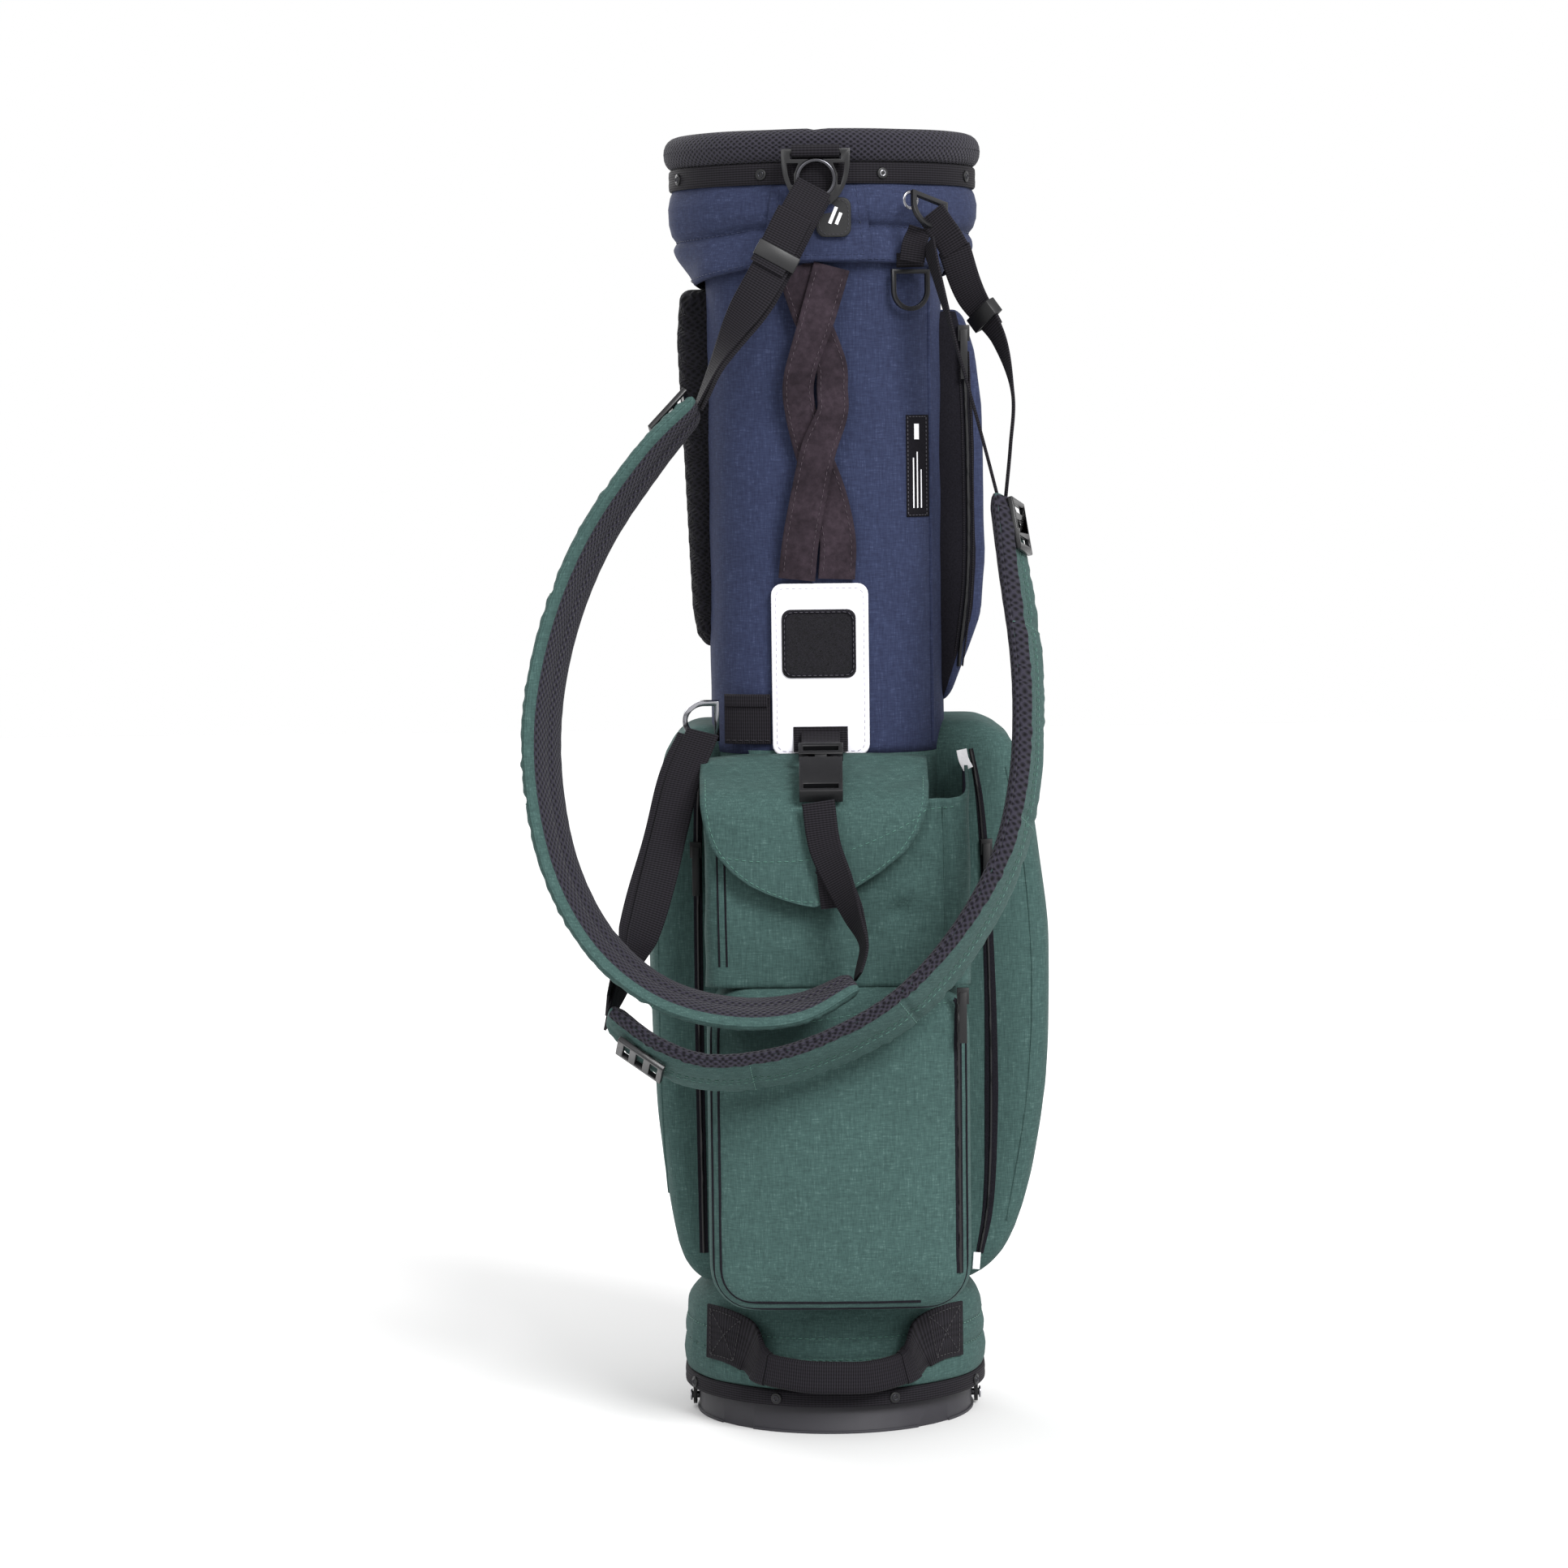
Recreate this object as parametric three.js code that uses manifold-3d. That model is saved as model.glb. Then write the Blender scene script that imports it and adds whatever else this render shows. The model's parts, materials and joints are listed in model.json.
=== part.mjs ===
// Golf stand bag: a soft tube between a hard top frame and a hinged foot, with two folding legs behind,
// pockets round it, and a double shoulder strap hanging in front. Millimetres, +Z up.
// The origin is the middle of the foot's underside. The straps and the handle face -Y, the legs face +Y.
import * as THREE from 'three';
import { mergeVertices } from 'three/addons/utils/BufferGeometryUtils.js';
import Module from 'manifold-3d';

const wasm = await Module();
wasm.setup();

// ---------- driving dimensions ----------
const GAP = 0.4; // left between faces that rest on each other
const BODY = { halfWidth: 81, halfDepth: 92, squareness: 3.2, wall: 2.5 };
const TUBE = { bottom: 31, split: 470, top: 835 }; // the green cloth stops and the navy cloth starts at split
const CUFF = { radius: 104, inner: 101.4, roundTo: 80, top: 105 }; // padded band round the base
const COLLAR = { radius: 106, inner: 99, bottom: 800, top: 852 }; // padded band round the mouth
const FLARE = { from: 790, to: 815, radius: 98.5 }; // the tube opens out to the top frame
const TRIM = { height: 11, thickness: 3.9, topBottom: 852.4, topTop: 865.8 };
const RIVET = { count: 8, radius: 4, rise: 1.9 };
const RIM = { radius: 97.5, halfWidth: 11.5, halfHeight: 11.8, middle: 878 };
const FRAME = { outer: 95.5, inner: 91.8, bottom: 818, top: 865.6, bar: 9, barTop: 876, barBottom: 830 };
const DIVIDER = { thickness: 2, bottom: 66, top: 829.5, halfX: 75, halfY: 86 };

const LEAN = THREE.MathUtils.degToRad(24); // how far the bag leans back on its legs
const HINGE_Z = 8; // height of the foot's hinge, on the line x = any, y = 0
const FOOT = {
  radius: 96,
  plate: 6.5,
  wallTop: 19.5,
  wall: 3.5,
  lip: 1.4,
  lipTop: 1.8,
  rockerTop: 15,
  tabReach: 120,
};
const RING = { outer: 101, inner: 97.5, bottom: 20, top: 70, floor: 3.4, slantFrom: 5 };
const EAR = { inner: 97.9, outer: 100.4, radius: 6.5, top: 34 };
const PIN = { radius: 2.5, hole: 2.9, headRadius: 4.2 };

const LEG = {
  pivot: new THREE.Vector3(38, 118, 772),
  length: 700, // pivot to the middle of the rubber foot
  tube: 7,
  hub: 9,
  hubHalf: 7.2,
  splayAtRest: 0.02,
  // From pivot to rubber foot with the bag leaning, in the ground's frame.
  open: new THREE.Vector3(178, 206, -644.9),
};
const ROD = { radius: 2, x: 13, y: 108, bottom: 12, top: 790 };

const PAD = { width: 60, thickness: 13, endWidth: 36 };
const WEBBING = { width: 25, thickness: 1.8 };

// ---------- colours and finishes ----------
const finish = (colour, roughness, metalness = 0) =>
  new THREE.MeshStandardMaterial({ color: colour, roughness, metalness });
const NAVY = finish('#2c3757', 0.9);
const GREEN = finish('#36564d', 0.9);
const MESH = finish('#1d1c22', 0.95);
const BLACK_WEBBING = finish('#232024', 0.8);
const BROWN = finish('#352c31', 0.95);
const WHITE_VINYL = finish('#eceaf1', 0.5);
const HOOK_LOOP = finish('#141318', 1);
const PLASTIC = finish('#1b1b1d', 0.45);
const BASE_PLASTIC = finish('#38363c', 0.6);
const RUBBER = finish('#161616', 0.9);
const STEEL = finish('#b8b8bc', 0.25, 1);
const ALUMINIUM = finish('#2a2a2d', 0.35, 0.8);
const LINING = finish('#3a3a48', 0.9);

// ---------- solids ----------
// A closed geometry as a manifold solid that faces outwards.
function solid(geometry) {
  const bare = geometry.index ? geometry.toNonIndexed() : geometry.clone();
  bare.deleteAttribute('normal');
  bare.deleteAttribute('uv');
  const merged = mergeVertices(bare, 1e-3);
  const make = (triVerts) =>
    new wasm.Manifold(
      new wasm.Mesh({ numProp: 3, vertProperties: merged.attributes.position.array, triVerts }),
    );
  const triangles = new Uint32Array(merged.index.array);
  const made = make(triangles);
  if (made.volume() > 0) return made;
  const corner = [0, 2, 1];
  return make(triangles.map((v, i, all) => all[i - (i % 3) + corner[i % 3]]));
}

function geometryOf(made) {
  const mesh = made.getMesh();
  return new THREE.BufferGeometry()
    .setAttribute('position', new THREE.BufferAttribute(new Float32Array(mesh.vertProperties), 3))
    .setIndex(new THREE.BufferAttribute(new Uint32Array(mesh.triVerts), 1));
}

const join = (...solids) => solids.reduce((all, next) => all.add(next));

const bag = new THREE.Group();
function add(name, shape, material, parent = bag) {
  const geometry = shape.isBufferGeometry ? geometryOf(solid(shape)) : geometryOf(shape);
  const mesh = new THREE.Mesh(geometry, material);
  mesh.name = name;
  parent.add(mesh);
  return mesh;
}

// Moves each vertex of a geometry through a function of its point.
function reshape(geometry, move) {
  const at = geometry.attributes.position;
  const p = new THREE.Vector3();
  for (let i = 0; i < at.count; i++) {
    move(p.fromBufferAttribute(at, i));
    at.setXYZ(i, p.x, p.y, p.z);
  }
  return geometry;
}

const box = (x0, x1, y0, y1, z0, z1) =>
  solid(
    new THREE.BoxGeometry(x1 - x0, y1 - y0, z1 - z0).translate((x0 + x1) / 2, (y0 + y1) / 2, (z0 + z1) / 2),
  );

// A profile of [radius, height] pairs turned about the Z axis. Away from the axis it closes on itself.
function turned(profile, segments = 40) {
  const closed = profile[0][0] > 0 ? [...profile, profile[0]] : profile;
  const points = closed.map(([r, z]) => new THREE.Vector2(r, z));
  return new THREE.LatheGeometry(points, segments).rotateX(Math.PI / 2);
}
const disc = (radius, z0, z1, segments = 40) =>
  solid(turned([[0, z0], [radius, z0], [radius, z1], [0, z1]], segments));
const hoop = (inner, outer, z0, z1, segments = 40) =>
  solid(turned([[inner, z0], [outer, z0], [outer, z1], [inner, z1]], segments));

const barAlongX = (x0, x1, y, z, radius, segments = 16) =>
  solid(
    new THREE.CylinderGeometry(radius, radius, x1 - x0, segments)
      .rotateZ(Math.PI / 2)
      .translate((x0 + x1) / 2, y, z),
  );

// ---------- the tube's plan: round at both ends, a soft rectangle between ----------
const step = (from, to, z) => THREE.MathUtils.smoothstep(z, from, to);
const squared = (z) => step(CUFF.roundTo, CUFF.top, z) * (1 - step(FLARE.from, FLARE.to, z));

function onBody(p) {
  const angle = Math.atan2(p.y, p.x);
  const across = Math.abs(Math.cos(angle)) * (BODY.halfDepth / BODY.halfWidth);
  const n = BODY.squareness;
  const soft = (across ** n + Math.abs(Math.sin(angle)) ** n) ** (-1 / n);
  const k = THREE.MathUtils.lerp(1, soft, squared(p.z));
  p.x *= k;
  p.y *= k;
}
const fitted = (profile, segments = 40) => solid(reshape(turned(profile, segments), onBody));

// Everything the tube and its base cuff fill, grown by a gap, for cutting what lies on them.
const bodyFilled = (gap) =>
  fitted([
    [0, 20], [CUFF.radius + 1.2 + gap, 20], [CUFF.radius + 1.2 + gap, 62], [103 + gap, 73], [97 + gap, 95],
    [BODY.halfDepth + gap, CUFF.top], [BODY.halfDepth + gap, 450], [BODY.halfDepth + gap, 620],
    [BODY.halfDepth + gap, FLARE.from], [FLARE.radius + gap, FLARE.to], [FLARE.radius + gap, 860], [0, 860],
  ]);

// The half-space above the slanted underside that the bag comes down on when it leans.
function aboveSlant(rise) {
  const size = 600;
  const normal = new THREE.Vector3(0, -Math.sin(LEAN), Math.cos(LEAN));
  const middle = new THREE.Vector3(0, RING.slantFrom, RING.bottom).addScaledVector(normal, rise + size / 2);
  return solid(new THREE.BoxGeometry(size, size, size).rotateX(LEAN).translate(...middle));
}
const slantHeight = (y) => RING.bottom + Math.max(0, y - RING.slantFrom) * Math.tan(LEAN);

// ---------- foot: stays on the ground while the bag leans ----------
const FOOT_SIDES = [['left', -1], ['right', 1]];
// Four raised lips round the plate's rim stand just proud of the wall.
const LIP_ARC = THREE.MathUtils.degToRad(72);
function footLip(turn) {
  const shape = new THREE.Shape();
  shape.absarc(0, 0, FOOT.radius + FOOT.lip, -LIP_ARC / 2, LIP_ARC / 2, false);
  shape.absarc(0, 0, FOOT.radius - 6, LIP_ARC / 2, -LIP_ARC / 2, true);
  const arc = new THREE.ExtrudeGeometry(shape, { depth: FOOT.lipTop, bevelEnabled: false, curveSegments: 8 });
  return solid(arc.rotateZ(turn));
}
function baseFoot() {
  const lips = [0, 1, 2, 3].map((i) => footLip((i * Math.PI) / 2));
  const plate = join(disc(FOOT.radius, 0, FOOT.plate), ...lips);
  const frontWall = hoop(FOOT.radius - FOOT.wall, FOOT.radius, FOOT.plate - 1, FOOT.wallTop).intersect(
    box(-200, 200, -200, -EAR.radius - 2.5, 0, 50),
  );
  const rearHalf = box(-200, 200, 14, 200, 0, 50);
  const rocker = disc(FOOT.radius - 3, FOOT.plate - 1, FOOT.rockerTop).intersect(rearHalf);
  const tab = box(-30, 30, 80, FOOT.tabReach, 0, FOOT.plate);
  const bosses = FOOT_SIDES.map(([, side]) => {
    const [a, b] = [side * 86, side * 95.9].sort((p, q) => p - q);
    return box(a, b, -7, 7, FOOT.plate - 1, 14);
  });
  const holes = FOOT_SIDES.map(([, side]) => {
    const [a, b] = [side * 85, side * 98].sort((p, q) => p - q);
    return barAlongX(a, b, 0, HINGE_Z, PIN.hole);
  });
  return holes.reduce((all, hole) => all.subtract(hole), join(plate, frontWall, rocker, tab, ...bosses));
}
add('base_foot', baseFoot(), BASE_PLASTIC);

for (const [name, side] of FOOT_SIDES) {
  const span = (a, b) => [side * a, side * b].sort((p, q) => p - q);
  const pin = join(
    barAlongX(...span(88, 101.4), 0, HINGE_Z, PIN.radius),
    barAlongX(...span(101.2, 102.6), 0, HINGE_Z, PIN.headRadius),
  );
  add(`hinge_pin_${name}`, pin, STEEL);
}

// ---------- bottom ring: the bag's own base, cut on the slant behind, with two hinge ears ----------
function bottomRing() {
  const outside = disc(RING.outer, RING.bottom, RING.top).intersect(aboveSlant(0));
  const inside = disc(RING.inner, RING.bottom + RING.floor, RING.top + 1).intersect(aboveSlant(RING.floor));
  let ring = outside.subtract(inside);
  for (const [, side] of FOOT_SIDES) {
    const [a, b] = [side * EAR.inner, side * EAR.outer].sort((p, q) => p - q);
    const earPlate = box(a, b, -EAR.radius, EAR.radius, HINGE_Z, EAR.top);
    ring = join(ring, earPlate, barAlongX(a, b, 0, HINGE_Z, EAR.radius));
    const [c, d] = [side * 95, side * 104].sort((p, q) => p - q);
    ring = ring.subtract(barAlongX(c, d, 0, HINGE_Z, PIN.hole));
  }
  return ring;
}
add('bottom_ring', bottomRing(), PLASTIC);

// Rivet heads stand on a trim band at equal angles, half a step off the front.
const rivetAngles = Array.from({ length: RIVET.count }, (_, i) => ((i + 0.5) / RIVET.count) * 2 * Math.PI);
function rivets(radius, heightAt) {
  return rivetAngles.map((angle) =>
    solid(
      new THREE.CylinderGeometry(RIVET.radius, RIVET.radius, 3, 12)
        .rotateZ(Math.PI / 2)
        .translate(radius + RIVET.rise - 1.5, 0, 0)
        .rotateZ(angle)
        .translate(0, 0, heightAt(Math.sin(angle) * radius)),
    ),
  );
}

function bottomTrim() {
  const outer = RING.outer + 0.4 + TRIM.thickness;
  const band = hoop(RING.outer + GAP, outer, RING.bottom, 100).intersect(aboveSlant(0));
  const above = disc(outer + 5, RING.bottom + TRIM.height, 101).intersect(aboveSlant(TRIM.height));
  return join(band.subtract(above), ...rivets(outer, (y) => slantHeight(y) + TRIM.height / 2));
}
add('bottom_trim', bottomTrim(), BLACK_WEBBING);

// ---------- the tube ----------
function lowerShell() {
  const wall = BODY.wall;
  const skin = fitted([
    [CUFF.inner, TUBE.bottom - 5], [CUFF.radius, TUBE.bottom - 5], [CUFF.radius, 62], [103, 73], [97, 95],
    [BODY.halfDepth, CUFF.top], [BODY.halfDepth, 290], [BODY.halfDepth, TUBE.split],
    [BODY.halfDepth - wall, TUBE.split], [BODY.halfDepth - wall, 290], [BODY.halfDepth - wall, CUFF.top + 3],
    [93.5, 92], [CUFF.inner, RING.top + 1],
  ]);
  const rise = TRIM.height + GAP;
  return skin.intersect(disc(150, RING.bottom + rise, 600)).intersect(aboveSlant(rise));
}
add('lower_shell', lowerShell(), GREEN);

function upperShell() {
  const [r, wall, from] = [BODY.halfDepth, BODY.wall, TUBE.split + GAP];
  return fitted([
    [r, from], [r, 630], [r, FLARE.from], [FLARE.radius, FLARE.to], [FLARE.radius, TUBE.top],
    [FLARE.radius - wall, TUBE.top], [FLARE.radius - wall, FLARE.to], [r - wall, FLARE.from],
    [r - wall, 630], [r - wall, from],
  ]);
}
add('upper_shell', upperShell(), NAVY);

const collar = turned([
  [COLLAR.inner, COLLAR.bottom + 8], [103, COLLAR.bottom], [COLLAR.radius, COLLAR.bottom + 8],
  [COLLAR.radius, COLLAR.top - 5], [104, COLLAR.top], [COLLAR.inner, COLLAR.top],
]);
add('collar_cuff', collar, NAVY);

const topTrim = join(
  hoop(COLLAR.inner, 105.5, TRIM.topBottom, TRIM.topTop),
  ...rivets(105.5, () => (TRIM.topBottom + TRIM.topTop) / 2),
);
add('top_trim', topTrim, BLACK_WEBBING);

// ---------- top frame: a hard ring with a cross that parts the clubs, and the padded roll over it ----------
function topFrame() {
  const { outer, inner, bottom, top, bar, barTop, barBottom } = FRAME;
  const h = bar / 2;
  const reach = inner + 1.5;
  const low = join(box(-reach, reach, -h, h, barBottom, top), box(-h, h, -reach, reach, barBottom, top));
  const high = join(box(-84, 84, -h, h, top - 1, barTop), box(-h, h, -84, 84, top - 1, barTop));
  return join(hoop(inner, outer, bottom, top), low, high);
}
add('top_frame', topFrame(), PLASTIC);

const rimProfile = Array.from({ length: 10 }, (_, i) => {
  const a = (i / 10) * 2 * Math.PI;
  return [RIM.radius + RIM.halfWidth * Math.cos(a), RIM.middle + RIM.halfHeight * Math.sin(a)];
});
add('rim_pad', turned(rimProfile), MESH);

const { thickness: dt, bottom: d0, top: d1 } = DIVIDER;
const dividers = join(
  box(-DIVIDER.halfX, DIVIDER.halfX, -dt / 2, dt / 2, d0, d1),
  box(-dt / 2, dt / 2, -DIVIDER.halfY, DIVIDER.halfY, d0, d1),
);
add('divider_panels', dividers, LINING);

// ---------- the stand ----------
// Each leg turns about one skewed axis, which takes it from beside the tube to its place on the ground.
function legHinge(side) {
  const rest = new THREE.Vector3(side * LEG.splayAtRest, 0, -1).normalize();
  const open = LEG.open.clone().setX(side * LEG.open.x).normalize();
  open.applyAxisAngle(new THREE.Vector3(1, 0, 0), LEAN);
  const axis = rest.clone().cross(open).normalize();
  const pivot = LEG.pivot.clone().setX(side * LEG.pivot.x);
  return { rest, axis, pivot, angle: rest.angleTo(open) };
}
// A frame at the pivot: X along the hinge axis, Z up the leg.
function legFrame(side) {
  const { rest, axis, pivot } = legHinge(side);
  const up = rest.clone().negate();
  return new THREE.Matrix4().makeBasis(axis, up.clone().cross(axis), up).setPosition(pivot);
}
const placed = (made, matrix) => solid(geometryOf(made).applyMatrix4(matrix));

function legBracket() {
  const saddle = box(-54, 54, 60, 99, 744, 795).subtract(bodyFilled(GAP));
  return FOOT_SIDES.reduce((all, [, side]) => {
    const at = legFrame(side);
    const fork = box(-12.5, 12.5, -22, 9, -11, 11);
    const slot = box(-7.7, 7.7, -14, 30, -40, 40);
    const hole = barAlongX(-20, 20, 0, 0, 3.3);
    return join(all, placed(fork, at).subtract(bodyFilled(GAP)))
      .subtract(placed(slot, at))
      .subtract(placed(hole, at));
  }, saddle);
}
add('leg_bracket', legBracket(), PLASTIC);

for (const [name, side] of FOOT_SIDES) {
  const at = legFrame(side);
  const leg = join(
    barAlongX(-LEG.hubHalf, LEG.hubHalf, 0, 0, LEG.hub, 20),
    barAlongX(-14, 14, 0, 0, 2.9),
    disc(LEG.tube, -LEG.length + 10, -5, 16),
  );
  add(`leg_tube_${name}`, placed(leg, at), ALUMINIUM);
  const boot = turned([[0, -713], [9, -712], [13, -705], [13, -696], [9.5, -690.4], [0, -690.4]], 16);
  add(`leg_foot_${name}`, placed(solid(boot), at), RUBBER);
}

// A bent wire carries the foot's push up the back to the legs.
const rods = [-ROD.x, ROD.x].map((x) =>
  solid(
    new THREE.CylinderGeometry(ROD.radius, ROD.radius, ROD.top - ROD.bottom, 8)
      .rotateX(Math.PI / 2)
      .translate(x, ROD.y, (ROD.top + ROD.bottom) / 2),
  ),
);
const rodLink = box(-ROD.x - 2, ROD.x + 2, ROD.y - 2.2, ROD.y + 2.2, ROD.bottom, ROD.bottom + 5);
add('actuator_rod', join(...rods, rodLink), STEEL);

const guideHoles = [-ROD.x, ROD.x].map((x) =>
  solid(new THREE.CylinderGeometry(2.7, 2.7, 40, 12).rotateX(Math.PI / 2).translate(x, ROD.y, 430)),
);
const guide = guideHoles.reduce((all, hole) => all.subtract(hole), box(-26, 26, 80, 113, 424, 436));
add('rod_guide', guide.subtract(bodyFilled(GAP)), PLASTIC);

// ---------- pockets and pads on the tube ----------
// A rounded rectangle in a plane, from its low and high corners.
function rounded(u0, u1, v0, v1, radius) {
  const shape = new THREE.Shape();
  shape.absarc(u1 - radius, v0 + radius, radius, -Math.PI / 2, 0, false);
  shape.absarc(u1 - radius, v1 - radius, radius, 0, Math.PI / 2, false);
  shape.absarc(u0 + radius, v1 - radius, radius, Math.PI / 2, Math.PI, false);
  shape.absarc(u0 + radius, v0 + radius, radius, Math.PI, 1.5 * Math.PI, false);
  return shape;
}
// The rectangle thickened, with its edges rounded over. The corner radius must exceed the bevel.
const pillow = (shape, depth, bevel) =>
  new THREE.ExtrudeGeometry(shape, {
    depth: depth - 2 * bevel,
    bevelThickness: bevel,
    bevelSize: bevel,
    bevelOffset: -bevel,
    bevelSegments: 3,
    curveSegments: 4,
  }).translate(0, 0, bevel);
// The pillow's plane stood up to face -Y, or +X, with its back at the given place.
const facingFront = (geometry, back) => geometry.rotateX(Math.PI / 2).translate(0, back, 0);
const facingSide = (geometry, inner, side) =>
  reshape(geometry, (p) => p.set(side * (inner + p.z), p.x, p.y));

// Looks up a height in a table of [height, reach] pairs.
function reachAt(table, z) {
  if (z <= table[0][0]) return table[0][1];
  const i = table.findIndex(([height]) => height >= z);
  if (i < 0) return table.at(-1)[1];
  const [[z0, r0], [z1, r1]] = [table[i - 1], table[i]];
  return THREE.MathUtils.mapLinear(z, z0, z1, r0, r1);
}
// Fills a side pocket out to the reach that its table gives for each height.
const taper = (geometry, inner, depth, table) =>
  reshape(geometryOf(solid(geometry).refineToLength(30)), (p) => {
    const share = Math.max(0, Math.abs(p.x) - inner) / depth;
    p.x = Math.sign(p.x) * (Math.min(Math.abs(p.x), inner) + share * (reachAt(table, p.z) - inner));
  });

const SIDE_Y = { front: -59, back: 74 };
const LEFT_REACH = [
  [96, 97], [108, 103], [123, 109], [168, 115], [230, 121], [330, 124], [440, 119], [470, 113],
  [485, 103],
];
const RIGHT_REACH = [
  [96, 100], [106, 110], [121, 122], [145, 133], [236, 149], [297, 151], [348, 150], [440, 138],
  [475, 128], [487, 116],
];
function sidePocket(side, reach, top) {
  const [inner, depth] = [62, 60];
  const outline = rounded(SIDE_Y.front, SIDE_Y.back, reach[0][0], top, 24);
  const form = taper(facingSide(pillow(outline, depth, 16), inner, side), inner, depth, reach);
  return solid(form).subtract(bodyFilled(GAP));
}
add('side_pocket_left', sidePocket(-1, LEFT_REACH, 485), GREEN);
add('side_pocket_right', sidePocket(1, RIGHT_REACH, 487), GREEN);

const UPPER_REACH = [[500, 84], [530, 96], [560, 107], [600, 110], [700, 109], [740, 104], [769, 96]];
const upperPocket = taper(
  facingSide(pillow(rounded(-42, 58, 500, 769, 16), 50, 9), 60, 1), 60, 50, UPPER_REACH,
);
add('upper_pocket', solid(upperPocket).subtract(bodyFilled(GAP)), NAVY);

const HIP_REACH = [
  [539, 84], [548, 88], [565, 91], [609, 93], [668, 95.5], [716, 98], [750, 99.5], [785, 97],
];
const hipPad = taper(facingSide(pillow(rounded(-34, 66, 539, 785, 14), 40, 8), 60, -1), 60, 40, HIP_REACH);
add('hip_pad', solid(hipPad).subtract(bodyFilled(GAP)), MESH);

const ballPocket = facingFront(pillow(rounded(-84, 93, 95, 317, 28), 103, 20), -62);
add('ball_pocket', solid(ballPocket).subtract(bodyFilled(GAP)), GREEN);

// The pouch is open at the top, with the tube as its back wall. Its mouth slopes down to the front.
const MOUTH = { back: 461, front: 441, frontY: -152 };
const mouthSlope = Math.atan2(MOUTH.back - MOUTH.front, -BODY.halfDepth - MOUTH.frontY);
function pouch() {
  const outside = solid(facingFront(pillow(rounded(-84, 94, 318, 490, 22), 90, 16), -62));
  const cavity = box(-70, 78, -146, -60, 324, 500);
  const lid = new THREE.BoxGeometry(400, 400, 200).translate(0, 0, 100).rotateX(mouthSlope);
  const above = solid(lid.translate(0, MOUTH.frontY, MOUTH.front));
  return outside.subtract(cavity).subtract(above).subtract(bodyFilled(GAP));
}
add('pouch', pouch(), GREEN);

// A cloth flap lies over the pouch's mouth and hangs down its front.
const FLAP_ROUTE = [
  [0, -97, 467], [0, -118, 459.5], [0, -140, 451], [0, -152, 445], [0, -159, 436],
  [0, -160.5, 424], [0, -161, 405], [0, -161.5, 371],
];
function pouchFlap() {
  const knots = FLAP_ROUTE.map((p) => new THREE.Vector3(...p));
  const route = new THREE.CatmullRomCurve3(knots, false, 'centripetal');
  const length = route.getLength();
  const shape = new THREE.Shape();
  shape.moveTo(-74, 0);
  shape.lineTo(66, 0);
  shape.bezierCurveTo(68, -70, 50, -length * 0.98, -8, -length);
  shape.bezierCurveTo(-66, -length * 0.97, -88, -100, -86, -50);
  shape.closePath();
  const flat = new THREE.ExtrudeGeometry(shape, { depth: 2.6, bevelEnabled: false, curveSegments: 8 });
  return reshape(geometryOf(solid(flat).refineToLength(9)), (p) => {
    const t = THREE.MathUtils.clamp(-p.y / length, 0, 1);
    const tangent = route.getTangentAt(t);
    const out = tangent.clone().cross(new THREE.Vector3(1, 0, 0));
    const at = route.getPointAt(t).addScaledVector(out, p.z);
    p.copy(at.setX(p.x));
  });
}
add('pouch_flap', pouchFlap(), GREEN);

// ---------- flat pieces on the front of the tube ----------
const FRONT = -BODY.halfDepth - GAP;
function plate(x0, x1, z0, z1, radius, from, depth) {
  const shape = rounded(x0, x1, z0, z1, radius);
  const block = new THREE.ExtrudeGeometry(shape, { depth, bevelEnabled: false, curveSegments: 5 });
  return facingFront(block, from);
}
add('glove_patch', plate(-37.6, 28.3, 467, 584, 7, FRONT, 3), WHITE_VINYL);
add('hook_loop_patch', plate(-30.6, 19.7, 520, 566.5, 5, FRONT - 3 - GAP, 2), HOOK_LOOP);
add('collar_patch', plate(-4, 18.4, 818, 842, 2, -COLLAR.radius - GAP, 1.4), RUBBER);

// ---------- strips bent along a route ----------
// The place and directions on a route at t: across its width, along it, and out of its face.
function routeFrames(centres, acrosses) {
  const route = new THREE.CatmullRomCurve3(centres.map((p) => new THREE.Vector3(...p)), false, 'centripetal');
  const sides = new THREE.CatmullRomCurve3(acrosses.map((p) => new THREE.Vector3(...p)));
  return (t) => {
    const tangent = route.getTangent(t);
    const across = sides.getPoint(t).projectOnPlane(tangent).normalize();
    return { at: route.getPoint(t), across, tangent, out: across.clone().cross(tangent) };
  };
}
// Bends a geometry that runs along Y from 0 to 1: X becomes the across direction and Z the thickness.
function along(geometry, centres, acrosses) {
  const frames = routeFrames(centres, acrosses);
  return reshape(geometry, (p) => {
    const { at, across, out } = frames(THREE.MathUtils.clamp(p.y, 0, 1));
    p.copy(at.addScaledVector(across, p.x).addScaledVector(out, p.z));
  });
}
// Lays a rigid piece on a route: its X across, its Y along, and its Z out by the given lift.
function laid(geometry, centres, acrosses, t, lift = 0) {
  const { at, across, tangent, out } = routeFrames(centres, acrosses)(t);
  at.addScaledVector(out, lift);
  return geometry.applyMatrix4(new THREE.Matrix4().makeBasis(across, tangent, out).setPosition(at));
}
function strip(centres, acrosses, width, thickness, steps = 3 * (centres.length - 1)) {
  const widthAt = Array.isArray(width) ? (t) => reachAt(width, t) : () => width;
  const bar = reshape(new THREE.BoxGeometry(1, 1, thickness, 1, steps, 1).translate(0, 0.5, 0), (p) => {
    p.x *= widthAt(p.y);
  });
  return along(bar, centres, acrosses);
}

const X_AXIS = [1, 0, 0];
const Z_AXIS = [0, 0, 1];
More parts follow.
